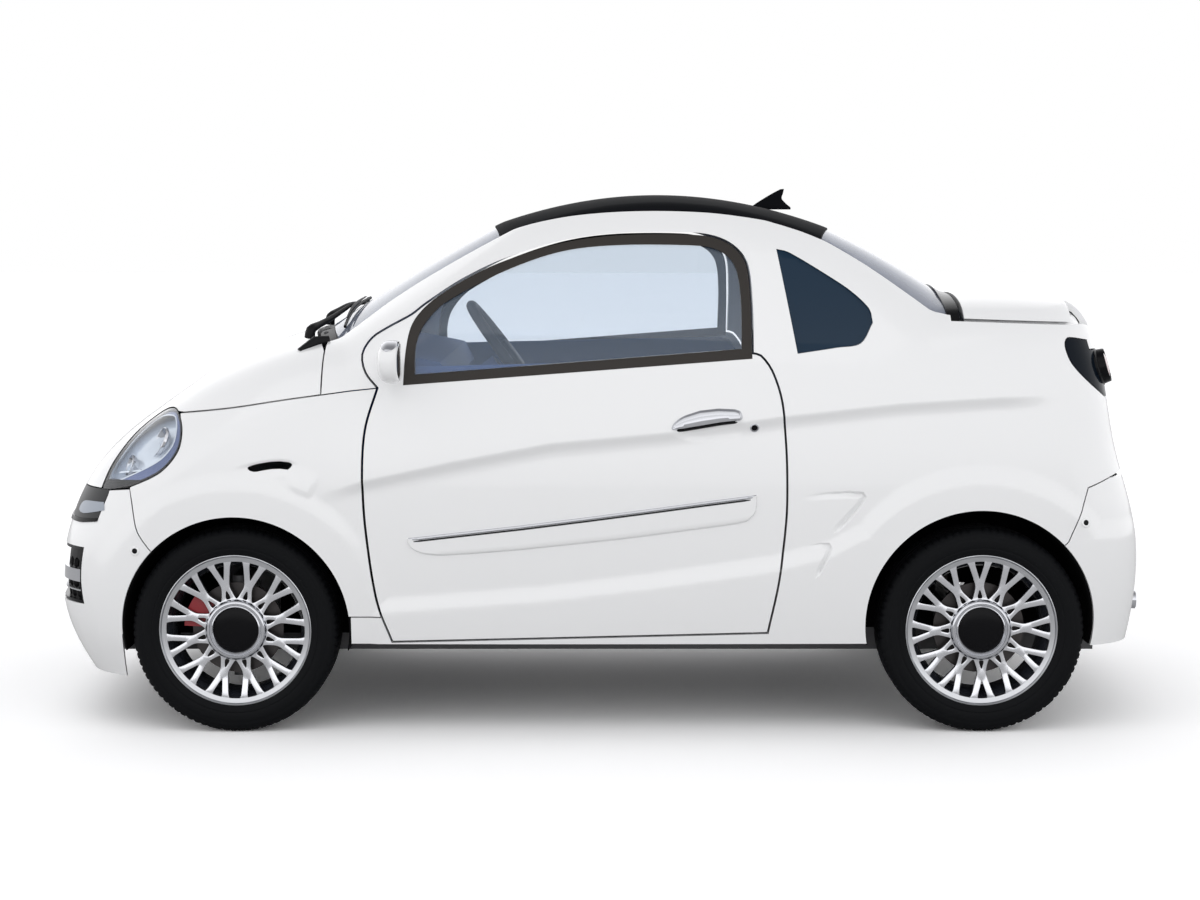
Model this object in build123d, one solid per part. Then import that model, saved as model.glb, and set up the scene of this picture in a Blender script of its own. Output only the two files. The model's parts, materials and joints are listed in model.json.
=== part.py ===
"""A two-seat microcar as an assembly of separate parts, in millimetres.

Frame: +X to the rear, +Y to the car's right, +Z up.  The origin is on the ground, midway along the car.
The body is one master form: a stack of plan sections (HULL) cut by a crowned roof line (CROWN).  Each panel
is a layer of that form, between two depths below the skin, cut by its outline in side view or plan.
"""
from build123d import *
from functools import lru_cache
from math import cos, hypot, radians, sin
import os

# ---------------------------------------------------------------- driving dimensions
FIXED_GAP = 0.3          # between fixed panels
SHUT_GAP = 6             # round moving panels
DOOR_FRONT_GAP = 6.5     # between door and fender, beside the hinge

FENDER_T = 3             # panel depths below the skin
BUMPER_T = 12
BONNET_T = 20
LID_T = 20
ROOF_T = 28
FRAME_T = 45             # side frame: pillars, rail, quarter and sill
DOOR_T = 60              # whole door below the window
DOOR_FRAME_T = 34        # door round the window
DOOR_FLANGE_T = 6        # outer skin's flange over the seal
DOOR_FLANGE_W = 14
TRIM_T = 12              # trim standing on the skin
GLASS_IN = 5             # glass face below the skin
GLASS_T = 5
LAMP_T = 60
LENS_T = 3

WHEEL_R = 275            # 155/65 R14 tyre under load
RIM_R = 184
RIM_W = 128
WHEEL_FRONT_X = -974
WHEEL_REAR_X = 1019
WHEEL_Y = 642            # wheel's middle plane
HUB_R = 14               # stub axle
HUB_CLEAR = 0.05
STEER_Y = 618            # steering axis
KINGPIN_R = 9
ARCH_FRONT = (-971, 279, 305)     # x, z and radius of the opening
ARCH_REAR = (1012, 295, 306)
LINER_T = 3
LINER_IN_Y = 415         # inner end of the wheel housing

DOOR_AXIS_X = -700
DOOR_AXIS_Y = 728
DOOR_HINGES_Z = (482, 650)
DOOR_PIN_R = 4
BONNET_AXIS = (-775, 1045)
BONNET_HINGE_Y = 220
LID_AXIS = (968, 1154)
LID_GROOVE = 12
LID_HINGE_Y = 300
PIN_CLEAR = 0.2

FLOOR_Z = 232
FLOOR_T = 5
BULKHEAD_X = -722
BULKHEAD_T = 6
POST_X = (-746, -713)    # door hinge post
POST_IN_Y = 600
RAIL_Y = 330             # chassis rails
RAIL_W = 50
RAIL_H = 70
RAIL_FRONT_X = -1420
RAIL_REAR_X = 1390
NOSE_TUBE_Z = 560
ENGINE = ((-1240, -210, 262), (-780, 210, 640))
BOOT_FLOOR_Z = 600
FLOOR_STEP_X = 560        # where the cabin floor steps up to the boot
EXHAUST_Y = -450
EXHAUST_Z = 318
EXHAUST_R = 25

# master form: plan sections: z, front x, rear x, half width, front corner radius
HULL = [
    (110, -1420, 1440, 690, 200),
    (250, -1492, 1468, 718, 200),
    (570, -1480, 1473, 746, 220),
    (760, -1358, 1422, 737, 220),
    (900, -1190, 1400, 714, 210),
    (1170, -1040, 1338, 616, 160),
    (1470, -900, 1250, 415, 120),
]
REAR_CORNER_R = 150
NOSE_BOW = 80            # how far the ends bow out in plan
TAIL_BOW = 45
SIDE_BOW_FRONT = 16
SIDE_BOW_REAR = 26
# side profile of the crown at the middle plane
COWL = (-790, 1060)
SCREEN_MID = (-586, 1190)
HEADER = (-301, 1347)
ROOF_TOP = (160, 1436)
ROOF_END = (649, 1336)
BACKLIGHT_MID = (820, 1246)
BACKLIGHT_FOOT = (968, 1157)
DECK_MID = (1120, 1160)
DECK_END = (1262, 1152)
# how the crown falls away: y, bonnet drop, cowl x shift and drop, header x shift and drop, roof drop,
# roof end x shift and drop, backlight foot x shift, deck drop
CROWN = [
    (0,   0,   0,   0,   0,   0,   0,   0,   0,   0,   0),
    (500, 34,  76, 12,  74,  18, 47, -35,  26, -50,  8),
    (620, 84, 108, 40,  86,  90, 118, -41, 98, -84, 48),
    (760, 230, 130, 170, 95,  250, 290, -50, 260, -100, 160),
]
CROWN_DEPTH = 1.12       # vertical drop of the crown for each mm below the skin
FAR_X = 1620
BASE_Z = 60
TOP_Z = 1600
FAR_Y = 900

# outlines in side view (x, z)
DOOR_BELOW = [(-551, 251), (444, 275), (472, 415), (490, 575), (492, 682), (488, 788), (477, 894),
              (453, 968), (425, 1006)]
DOOR_WINDOW_END = [(402, 1012), (402, 1151), (391, 1253), (345, 1304), (269, 1326), (54, 1326),
                   (-108, 1304), (-269, 1253), (-375, 1201), (-469, 1139), (-502, 1113), (-568, 1077)]
DOOR_SAIL = [(-608, 1050), (-630, 1010), (-619, 965), (-585, 925)]
DOOR_FRONT = [(-617, 814), (-624, 682), (-617, 548), (-590, 361)]
DOOR = DOOR_BELOW + DOOR_WINDOW_END + DOOR_SAIL + DOOR_FRONT
DOOR_GLASS = [(-491, 958), (377, 1025), (377, 1152), (365, 1238), (328, 1281), (268, 1297), (54, 1299),
              (-107, 1281), (-269, 1224), (-417, 1144), (-471, 1085), (-490, 1031)]
QUARTER_GLASS = [(476, 1289), (508, 1281), (589, 1233), (670, 1179), (719, 1131), (727, 1094),
                 (693, 1040), (631, 1029), (524, 1013)][::-1]
BAND_Z = (565, 649)
BUMPER_LINE = [(-1196, 498), (-1227, 547), (-1244, 627), (-1250, 655)]
LAMP_LOWER = [(-1250, 660), (-1166, 700), (-1119, 757), (-1116, 816)]
LAMP_UPPER = [(-1144, 857), (-1185, 851), (-1253, 797), (-1309, 716), (-1337, BAND_Z[1])]
LAMP_INNER_Y = 400
BONNET_LINE = [(-1130, 850), (-978, 869), (-845, 890), (-739, 905)]
PILLAR_FOOT = [(-739, 905), (-660, 916), (-586, 924)]
FENDER_FOOT_Z = 315
BAND_LOWER = [(-1346, 565), (-1401, 557)]
TAIL_LAMP = [(1251, 1053), (1241, 1032), (1258, 986), (1304, 938), (1362, 892), (1500, 880), (1500, 1013),
             (1316, 1020), (1310, 1045)]
TAIL_LAMP_INNER_Y = 470
REAR_BUMPER_LINE = [(1242, 517), (1277, 598), (1295, 659), (1361, 683)]
LID_LINE = [(974, 1104), (1262, 1094)]
LID_REAR_HALF = 455
LID_FOOT_Z = 690
SILL_Z = 240
SILL_FRONT_X = -664

# plan outlines: half width of the screens and roof, and the arcs that end them
PLAN_EDGE = [(-1400, 545), (-740, 539), (-650, 504), (-580, 473), (-500, 460), (-300, 458), (-100, 454),
             (300, 455), (450, 460), (550, 478), (614, 494), (721, 529), (795, 556), (868, 582), (930, 606),
             (1000, 620)]
BONNET_REAR = (-740, -812)        # x at the side and in the middle
BONNET_REAR_HALF = 612            # where the rear edge reaches the side line
SCREEN_FOOT = (-706, -762)
HEADER_EDGE = (-272, -303)
ROOF_EDGE = (600, 655)

GRILLE_Z = (338, 492)
GRILLE_HALF = 655
GRILLE_SLATS = 4
GRILLE_SLAT_H = 9
GRILLE_RIBS = 11
GRILLE_IN = 3

COLUMN_END = (-254, 986)          # centre of the steering wheel's rim
COLUMN_TILT = 36.5                # degrees of the rim's plane from upright
DRIVER_Y = -320
STEERING_R = 178
WHEEL_HUB_BACK = 36       # back of the steering wheel's hub behind the rim's plane
SEAT_HALF = 225
SEAT_Y = 320


# ---------------------------------------------------------------- helpers
def side_plane(y):
    """Local x is X, local y is Z, and extrusion goes towards -Y."""
    return Plane(origin=(0, y, 0), x_dir=(1, 0, 0), z_dir=(0, -1, 0))


def side_prism(points, low_y=-FAR_Y, high_y=FAR_Y):
    face = make_face(Polyline(*points, close=True))
    return extrude(side_plane(high_y) * face, high_y - low_y)


def plan_prism(points, low_z=BASE_Z, high_z=TOP_Z):
    return extrude(Pos(0, 0, low_z) * make_face(Polyline(*points, close=True)), high_z - low_z)


def block(low, high):
    size = [h - l for l, h in zip(low, high)]
    return Pos(*[(l + h) / 2 for l, h in zip(low, high)]) * Box(*size)


def rod(start, end, radius):
    """A round bar between two points."""
    a, b = Vector(*start), Vector(*end)
    return extrude(Plane(origin=start, z_dir=(b - a)) * Circle(radius), (b - a).length)


def cross_cylinder(x, z, radius, y0, y1):
    return rod((x, y0, z), (x, y1, z), radius)


def grow(points, distance):
    """The polygon moved out by a distance, its corners kept sharp."""
    area = sum(a[0] * b[1] - b[0] * a[1] for a, b in zip(points, points[1:] + points[:1]))
    side = 1 if area > 0 else -1
    moved = []
    for before, here, after in zip(points[-1:] + points[:-1], points, points[1:] + points[:1]):
        ux, uz = here[0] - before[0], here[1] - before[1]
        vx, vz = after[0] - here[0], after[1] - here[1]
        lu, lv = hypot(ux, uz), hypot(vx, vz)
        n1, n2 = (uz / lu, -ux / lu), (vz / lv, -vx / lv)
        mx, mz = n1[0] + n2[0], n1[1] + n2[1]
        scale = 2 * distance * side / (mx * mx + mz * mz)
        moved.append((here[0] + mx * scale, here[1] + mz * scale))
    return moved


def pair(solid):
    """A left piece and its mirror image on the right, as one group."""
    return Compound(children=[solid, mirror(solid, Plane.XZ)])


def right(solid):
    return mirror(solid, Plane.XZ)


# ---------------------------------------------------------------- master form
def hull(inset):
    sections = []
    for z, x_front, x_rear, half, corner in HULL:
        x_front, x_rear, half = x_front + inset, x_rear - inset, half - inset
        front = (x_front + NOSE_BOW, half - SIDE_BOW_FRONT)
        rear = (x_rear - TAIL_BOW, half - SIDE_BOW_REAR)
        front_left, rear_left = (front[0], -front[1]), (rear[0], -rear[1])
        outline = make_face([
            ThreePointArc(front_left, (x_front, 0), front),
            ThreePointArc(front, (0, half), rear),
            ThreePointArc(rear, (x_rear, 0), rear_left),
            ThreePointArc(rear_left, (0, -half), front_left)])
        corners = outline.vertices().sort_by(Axis.X)
        outline = fillet(corners[:2], max(corner - inset, 20))
        rear_corners = [v for v in outline.vertices() if v.X > 0 and abs(abs(v.Y) - rear[1]) < 1]
        outline = fillet(rear_corners, max(REAR_CORNER_R - inset, 20))
        sections.append(Pos(0, 0, z) * outline)
    return loft(sections)


def crown_profile(row, inset):
    y, bonnet, cowl_x, cowl, head_x, head, roof, end_x, end, foot_x, deck = row
    down = inset * CROWN_DEPTH
    nose, brow = (-FAR_X, 700 - bonnet), (-1150, 918 - bonnet)
    hood = (-985, 1000 - bonnet * 0.9)
    base = (COWL[0] + cowl_x, COWL[1] - cowl)
    screen = (SCREEN_MID[0] + (cowl_x + head_x) / 2, SCREEN_MID[1] - (cowl + head) / 2)
    header = (HEADER[0] + head_x, HEADER[1] - head)
    top = (ROOF_TOP[0], ROOF_TOP[1] - roof)
    roof_end = (ROOF_END[0] + end_x, ROOF_END[1] - end)
    glass = (BACKLIGHT_MID[0] + foot_x * 0.8, BACKLIGHT_MID[1] - (end + deck) / 2)
    foot = (BACKLIGHT_FOOT[0] + foot_x, BACKLIGHT_FOOT[1] - deck)
    deck_mid = (DECK_MID[0], DECK_MID[1] - deck)
    deck_end = (DECK_END[0], DECK_END[1] - deck)
    tail = (FAR_X, 1030 - deck)
    line = [(x, z - down) for x, z in
            (nose, brow, hood, base, screen, header, top, roof_end, glass, foot, deck_mid, deck_end, tail)]
    nose, brow, hood, base, screen, header, top, roof_end, glass, foot, deck_mid, deck_end, tail = line
    edges = [Line((-FAR_X, BASE_Z), nose), Line(nose, brow), ThreePointArc(brow, hood, base),
             ThreePointArc(base, screen, header), ThreePointArc(header, top, roof_end),
             ThreePointArc(roof_end, glass, foot), ThreePointArc(foot, deck_mid, deck_end),
             Line(deck_end, tail), Line(tail, (FAR_X, BASE_Z)), Line((FAR_X, BASE_Z), (-FAR_X, BASE_Z))]
    return side_plane(y) * make_face(edges)


def crown(inset):
    rows = [(-row[0],) + row[1:] for row in CROWN[:0:-1]] + CROWN
    return loft([crown_profile(row, inset) for row in rows])


@lru_cache(maxsize=None)
def form(inset):
    """The whole body as a solid, its skin moved in by inset."""
    return hull(inset) & crown(inset)


@lru_cache(maxsize=None)
def layer(outer, inner):
    return form(outer) - form(inner)


def plan_band(front_edge, rear_edge, grow_by=0):
    """Plan region of the screens and roof, between two bowed cross lines (x at the side, x in the middle)."""
    def half(x):
        for (x0, y0), (x1, y1) in zip(PLAN_EDGE, PLAN_EDGE[1:]):
            if x <= x1:
                return y0 + (y1 - y0) * (x - x0) / (x1 - x0) + grow_by
    xf, xr = front_edge[0], rear_edge[0]
    middle = [x for x, _ in PLAN_EDGE if xf < x < xr]
    near = [(x, -half(x)) for x in [xf] + middle + [xr]]
    far = [(x, half(x)) for x in [xf] + middle + [xr]]
    rear = Line(near[-1], far[-1]) if rear_edge[0] == rear_edge[1] else \
        ThreePointArc(near[-1], (rear_edge[1], 0), far[-1])
    edges = [Polyline(*near), rear, Polyline(*far[::-1]), ThreePointArc(far[0], (front_edge[1], 0), near[0])]
    return extrude(Pos(0, 0, BASE_Z) * make_face(edges), TOP_Z - BASE_Z)


def shifted(edge, distance):
    return (edge[0] + distance, edge[1] + distance)


def arch_cut(arch, extra=0, inner_y=0):
    x, z, radius = arch
    cuts = [cross_cylinder(x, z, radius + extra, side * inner_y, side * FAR_Y) for side in (-1, 1)]
    return cuts[0] + cuts[1]


# ---------------------------------------------------------------- body panels
def door_hole():
    return side_prism(grow(DOOR, SHUT_GAP))


def make_side_frame():
    outline = [(SILL_FRONT_X, SILL_Z), (SILL_FRONT_X, FENDER_FOOT_Z - FIXED_GAP),
               (-560, FENDER_FOOT_Z - FIXED_GAP), (-560, 924), PILLAR_FOOT[2], PILLAR_FOOT[1], PILLAR_FOOT[0],
               (PILLAR_FOOT[0][0], TOP_Z), (940, TOP_Z), (940, 1105 - SHUT_GAP)]
    outline += [(x, z - SHUT_GAP) for x, z in LID_LINE]
    outline += [(1310, 1088), (1420, 1050), (1420, 700)] + REAR_BUMPER_LINE[::-1]
    outline += [ARCH_REAR[:2], (ARCH_REAR[0], SILL_Z)]
    body = layer(0, FRAME_T) & side_prism(outline, -FAR_Y, -LINER_IN_Y)
    body -= plan_band(shifted(BONNET_REAR, -300), (LID_AXIS[0] + 8, LID_AXIS[0] + 8))
    body -= door_hole()
    body -= side_prism(QUARTER_GLASS)
    body -= arch_cut(ARCH_REAR)
    body -= side_prism(grow(TAIL_LAMP, FIXED_GAP))
    lid_rear = block((1240, -LID_REAR_HALF - SHUT_GAP, LID_FOOT_Z - SHUT_GAP),
                     (FAR_X, LID_REAR_HALF + SHUT_GAP, TOP_Z))
    body -= lid_rear
    return biggest(body)


def biggest(shape):
    return max(shape.solids(), key=lambda s: s.volume)


def make_fender():
    outline = BUMPER_LINE + LAMP_LOWER + BONNET_LINE + PILLAR_FOOT[1:] + DOOR_FRONT + \
        [(-575, FENDER_FOOT_Z), (-700, FENDER_FOOT_Z)]
    outline += [(ARCH_FRONT[0], ARCH_FRONT[1])]
    body = layer(0, FENDER_T) & side_prism(outline, -FAR_Y, -LINER_IN_Y)
    body -= side_prism(grow(DOOR, DOOR_FRONT_GAP))
    body -= arch_cut(ARCH_FRONT)
    return biggest(body)


def make_bonnet():
    side = grow([(-FAR_X, BAND_Z[1])] + [LAMP_UPPER[-1]] + LAMP_UPPER[-2::-1] + BONNET_LINE[1:] +
                [(PILLAR_FOOT[0][0], TOP_Z), (-FAR_X, TOP_Z)], -SHUT_GAP)
    skin = layer(0, BONNET_T) & side_prism(side)
    # between the lamps it reaches down to the nose band
    skin -= plan_band(shifted(BONNET_REAR, 0), (300, 300), BONNET_REAR_HALF - PLAN_EDGE[1][1])
    ax, az = BONNET_AXIS
    body = skin
    for y in (-BONNET_HINGE_Y, BONNET_HINGE_Y):
        body += side_prism([(ax - 55, az - 25), (ax, az - 5), (ax, az + 5), (ax - 55, az - 5)], y - 12, y + 12)
        body += cross_cylinder(ax, az, DOOR_PIN_R + 2, y - 12, y + 12)
        body -= cross_cylinder(ax, az, DOOR_PIN_R + PIN_CLEAR, y - 20, y + 20)
    return biggest(body)


def make_cowl():
    region = plan_band(shifted(BONNET_REAR, SHUT_GAP), shifted(SCREEN_FOOT, -FIXED_GAP), -FIXED_GAP)
    body = layer(10, ROOF_T) & region & block((-900, -FAR_Y, 800), (-600, FAR_Y, TOP_Z))
    for y in (-BONNET_HINGE_Y, BONNET_HINGE_Y):
        body -= block((-900, y - 30, 900), (BONNET_AXIS[0] + 12, y + 30, TOP_Z))
    return biggest(body)


def make_windscreen():
    region = plan_band(SCREEN_FOOT, shifted(HEADER_EDGE, -FIXED_GAP), -FIXED_GAP)
    return biggest(layer(GLASS_IN, GLASS_IN + GLASS_T) & region & block((-900, -FAR_Y, 900), (0, FAR_Y, TOP_Z)))


def make_roof():
    region = plan_band(HEADER_EDGE, ROOF_EDGE, -FIXED_GAP)
    return biggest(layer(0, ROOF_T) & region & block((-900, -FAR_Y, 1100), (900, FAR_Y, TOP_Z)))


def make_rear_window():
    foot = LID_AXIS[0] - 40
    region = plan_band(shifted(ROOF_EDGE, FIXED_GAP), (foot, foot), -FIXED_GAP)
    return biggest(layer(GLASS_IN, GLASS_IN + GLASS_T) & region & block((500, -FAR_Y, 1000), (1000, FAR_Y, TOP_Z)))


def make_rear_cowl():
    """Strip below the rear window, with the ears and pins of the boot lid's hinges."""
    front, rear = LID_AXIS[0] - 40 + FIXED_GAP, LID_AXIS[0] - LID_GROOVE / 2
    region = plan_band((front, front + 0.01), (rear, rear), -FIXED_GAP)
    body = layer(0, ROOF_T) & region & block((800, -FAR_Y, 1000), (1000, FAR_Y, TOP_Z))
    ax, az = LID_AXIS
    for y in (-LID_HINGE_Y, LID_HINGE_Y):
        for end in (-27, 27):
            body += block((rear - 6, y + end - 4, az - 20), (ax + 4, y + end + 4, az + 4))
        body += cross_cylinder(ax, az, DOOR_PIN_R - 0.5, y - 27, y + 27)
    return biggest(body)


def make_boot_lid():
    ax, az = LID_AXIS
    front_x = ax + LID_GROOVE / 2
    top = side_prism([(front_x, LID_LINE[0][1]), LID_LINE[1], (1268, 1094), (1268, TOP_Z), (front_x, TOP_Z)])
    rear = block((1240, -LID_REAR_HALF, LID_FOOT_Z), (FAR_X, LID_REAR_HALF, TOP_Z))
    body = layer(0, LID_T) & (top + rear)
    for y in (-LID_HINGE_Y, LID_HINGE_Y):
        body += block((ax, y - 20, az - 3), (front_x + 12, y + 20, az + 1))
        body += cross_cylinder(ax, az, 5, y - 20, y + 20)
        body -= cross_cylinder(ax, az, DOOR_PIN_R - 0.5 + PIN_CLEAR, y - 30, y + 30)
    return biggest(body)


def make_front_bumper():
    outline = [(-FAR_X, 140), (-1276, 140), (-1276, 263), (ARCH_FRONT[0], ARCH_FRONT[1])] + BUMPER_LINE[:3] + \
        [(-1248, BAND_Z[1] - FIXED_GAP), (-1312, BAND_Z[1] - FIXED_GAP), (-1316, 634)] + BAND_LOWER + \
        [(-FAR_X, 565)]
    outline = grow(outline, -FIXED_GAP)
    body = layer(0, BUMPER_T) & side_prism(outline)
    body -= arch_cut(ARCH_FRONT)
    body -= block((-FAR_X, -GRILLE_HALF, GRILLE_Z[0]), (-1300, GRILLE_HALF, GRILLE_Z[1]))
    return biggest(body)


def make_nose_band():
    outline = grow([(-FAR_X, BAND_Z[0])] + BAND_LOWER[::-1] + [(-1316, 634), (-1312, BAND_Z[1]),
                   (-FAR_X, BAND_Z[1])], -FIXED_GAP)
    return biggest(layer(0, BUMPER_T) & side_prism(outline))


def make_grille():
    """Frame, slats and upright ribs in the bumper's opening."""
    low, high = GRILLE_Z
    half = GRILLE_HALF - FIXED_GAP
    body = block((-FAR_X, -half, low + FIXED_GAP), (-1300, half, high - FIXED_GAP))
    body -= block((-FAR_X, -half + 18, low + 14), (-1300, half - 18, high - 14))
    pitch = (high - low - 28) / (GRILLE_SLATS + 1)
    for i in range(GRILLE_SLATS):
        z = low + 14 + pitch * (i + 1)
        body += block((-FAR_X, -half + 10, z - GRILLE_SLAT_H / 2), (-1300, half - 10, z + GRILLE_SLAT_H / 2))
    for i in range(GRILLE_RIBS):
        y = -half + 2 * half * (i + 1) / (GRILLE_RIBS + 1)
        body += block((-1455, y - 3, low + 10), (-1300, y + 3, high - 10))
    return biggest((form(GRILLE_IN) & body) - form(ROOF_T))


def lamp_outline():
    return LAMP_LOWER + LAMP_UPPER + [(-1312, BAND_Z[1])]


def lamp_region(extra):
    return side_prism(grow(lamp_outline(), extra), -FAR_Y, -LAMP_INNER_Y)


def make_headlamp():
    body = layer(LENS_T + FIXED_GAP, LAMP_T) & lamp_region(-FIXED_GAP)
    return biggest(body)


def make_headlamp_lens():
    return biggest(layer(0, LENS_T) & lamp_region(-FIXED_GAP))


def make_rear_bumper():
    outline = REAR_BUMPER_LINE + [(FAR_X, 683), (FAR_X, 232), (1303, 232), (1303, 283), (ARCH_REAR[0], 283)]
    outline = grow(outline, -FIXED_GAP)
    body = layer(0, BUMPER_T) & side_prism(outline)
    body -= arch_cut(ARCH_REAR)
    body -= rod((1380, EXHAUST_Y, EXHAUST_Z), (FAR_X, EXHAUST_Y, EXHAUST_Z), EXHAUST_R + 3)
    return biggest(body)


def make_tail_lamp():
    region = side_prism(TAIL_LAMP, -FAR_Y, -TAIL_LAMP_INNER_Y)
    return biggest(layer(0, ROOF_T) & region)


# ---------------------------------------------------------------- doors
def make_door():
    inner_outline = grow(DOOR, -DOOR_FLANGE_W)
    flange = (form(0) & side_prism(DOOR, -FAR_Y, -LINER_IN_Y)) - form(DOOR_FLANGE_T)
    low = side_prism(inner_outline, -FAR_Y, -LINER_IN_Y) & block((-FAR_X, -FAR_Y, BASE_Z), (FAR_X, 0, 990))
    high = side_prism(inner_outline, -FAR_Y, -LINER_IN_Y) & block((-FAR_X, -FAR_Y, 985), (FAR_X, 0, TOP_Z))
    inner = form(DOOR_FLANGE_T - 1)
    body = flange + ((inner & low) - form(DOOR_T)) + ((inner & high) - form(DOOR_FRAME_T))
    body -= side_prism(DOOR_GLASS)
    return biggest(body)


def make_door_glass():
    body = layer(GLASS_IN, GLASS_IN + GLASS_T)
    return biggest(body & side_prism(grow(DOOR_GLASS, -FIXED_GAP), -FAR_Y, -LINER_IN_Y))


def make_door_hinges():
    """Two arms, each a sleeve on the post's pin, a leg inwards, a strap rearwards and a pad on the door."""
    arms = []
    ax, ay = DOOR_AXIS_X, -DOOR_AXIS_Y
    reach = 60
    for z in DOOR_HINGES_Z:
        arm = block((ax - 6, ay, z - 15), (ax + 6, ay + reach + 10, z + 15))
        arm += block((ax - 6, ay + reach, z - 15), (ax + 140, ay + reach + 10, z + 15))
        arm += block((ax + 104, -FAR_Y, z - 15), (ax + 140, ay + reach + 1, z + 15)) & form(DOOR_T + FIXED_GAP)
        arm += rod((ax, ay, z - 15), (ax, ay, z + 15), DOOR_PIN_R + 2)
        arm -= rod((ax, ay, z - 20), (ax, ay, z + 20), DOOR_PIN_R + PIN_CLEAR)
        arms.append(biggest(arm))
    return Compound(children=arms)


def make_mirror():
    """Shell on a short foot on the sail."""
    shell = Pos(-548, -800, 998) * Box(62, 150, 112)
    shell = fillet(shell.edges().filter_by(Axis.Y), 22)
    foot = block((-572, -740, 972), (-532, -640, 1006)) - form(-FIXED_GAP)
    return biggest(shell + foot)


def make_door_trim():
    """Rub strip, handle and lock, each on the door's skin."""
    raised = layer(-TRIM_T, -FIXED_GAP)
    strip = raised & side_prism(
        [(-516, 523), (-476, 488), (-318, 488), (0, 520), (391, 582), (417, 608), (423, 632), (264, 616), (0, 590),
         (-264, 555)][::-1], -FAR_Y, -LINER_IN_Y)
    handle = raised & side_prism(
        [(185, 822), (264, 797), (372, 835), (380, 862), (316, 873), (237, 859)], -FAR_Y, -LINER_IN_Y)
    lock = raised & cross_cylinder(406, 817, 11, -FAR_Y, -LINER_IN_Y)
    return Compound(children=[biggest(strip), biggest(handle), biggest(lock)])


# ---------------------------------------------------------------- structure
def make_chassis():
    body = None
    for side in (-1, 1):
        y0, y1 = sorted((side * (RAIL_Y - RAIL_W / 2), side * (RAIL_Y + RAIL_W / 2)))
        rail = block((RAIL_FRONT_X, y0, FLOOR_Z - RAIL_H - FIXED_GAP), (RAIL_REAR_X, y1, FLOOR_Z - FIXED_GAP))
        body = rail if body is None else body + rail
    top, low = FLOOR_Z - FIXED_GAP, FLOOR_Z - RAIL_H + 15
    for x in (RAIL_FRONT_X + 20, BULKHEAD_X - 20, 60, 660, RAIL_REAR_X - 20):
        body += block((x - 20, -RAIL_Y, low), (x + 20, RAIL_Y, top))
    # nose frame: uprights and a cross tube behind the bumper
    for side in (-1, 1):
        y = side * RAIL_Y
        body += block((RAIL_FRONT_X, y - 15, top - 20), (RAIL_FRONT_X + 30, y + 15, NOSE_TUBE_Z))
    body += block((RAIL_FRONT_X, -RAIL_Y - 15, NOSE_TUBE_Z - 30), (RAIL_FRONT_X + 30, RAIL_Y + 15, NOSE_TUBE_Z))
    return biggest(body)


def make_floor():
    body = block((BULKHEAD_X + BULKHEAD_T / 2 + FIXED_GAP, -FAR_Y, FLOOR_Z), (FLOOR_STEP_X, FAR_Y, FLOOR_Z + FLOOR_T))
    body &= form(FRAME_T + FIXED_GAP)
    step_front = FLOOR_STEP_X - FLOOR_T
    step = block((step_front, -FAR_Y, FLOOR_Z), (FLOOR_STEP_X, FAR_Y, BOOT_FLOOR_Z)) & form(FRAME_T + FIXED_GAP)
    upper = block((step_front, -FAR_Y, BOOT_FLOOR_Z), (1400, FAR_Y, BOOT_FLOOR_Z + FLOOR_T)) & form(FRAME_T + FIXED_GAP)
    body += step + upper
    body -= arch_cut(ARCH_FRONT, 0.3, LINER_IN_Y - 5)
    body -= arch_cut(ARCH_REAR, 0.3, LINER_IN_Y - 5)
    return biggest(body)


def make_bulkhead():
    x0, x1 = BULKHEAD_X - BULKHEAD_T / 2, BULKHEAD_X + BULKHEAD_T / 2
    top = 1020
    body = block((x0, -POST_IN_Y + FIXED_GAP, FLOOR_Z), (x1, POST_IN_Y - FIXED_GAP, top)) & form(FRAME_T + FIXED_GAP)
    body -= arch_cut(ARCH_FRONT, 0.3, LINER_IN_Y - 5)
    ax, az = BONNET_AXIS
    for y in (-BONNET_HINGE_Y, BONNET_HINGE_Y):
        for end in (-17, 17):
            body += block((ax - 7, y + end - 4, top - 20), (x0, y + end + 4, top))
            body += block((ax - 7, y + end - 4, top - 20), (ax + 7, y + end + 4, az + 6))
        body += cross_cylinder(ax, az, DOOR_PIN_R, y - 17, y + 17)
    return biggest(body)


def make_door_post():
    x0, x1 = POST_X
    body = block((x0, -FAR_Y, 400), (x1, -POST_IN_Y, 903)) & form(FENDER_T + FIXED_GAP)
    body -= arch_cut(ARCH_FRONT, 0.3, LINER_IN_Y - 5)
    ax, ay = DOOR_AXIS_X, -DOOR_AXIS_Y
    for z in DOOR_HINGES_Z:
        for low in (z - 15 - PIN_CLEAR - 8, z + 15 + PIN_CLEAR):
            ear = block((x1 - 5, ay - 6, low), (ax + 6, ay + 30, low + 8))
            body += ear & form(FENDER_T + FIXED_GAP)
        body += rod((ax, ay, z - 20), (ax, ay, z + 20), DOOR_PIN_R)
    return biggest(body)


def make_arch_liners():
    liners = []
    for x, z, radius in (ARCH_FRONT, ARCH_REAR):
        out = radius - FIXED_GAP
        ring = cross_cylinder(x, z, out, -FAR_Y, -LINER_IN_Y) - \
            cross_cylinder(x, z, out - LINER_T, -FAR_Y, -LINER_IN_Y - LINER_T)
        ring &= block((x - 400, -FAR_Y, z - 60), (x + 400, 0, z + 400))
        ring &= form(6)
        ring -= block((x - 80, -LINER_IN_Y - 10, z - 100), (x + 80, -LINER_IN_Y + 10, WHEEL_R + 150))
        liners.append(biggest(ring))
        liners.append(right(liners[-1]))
    return Compound(children=liners)


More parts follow.
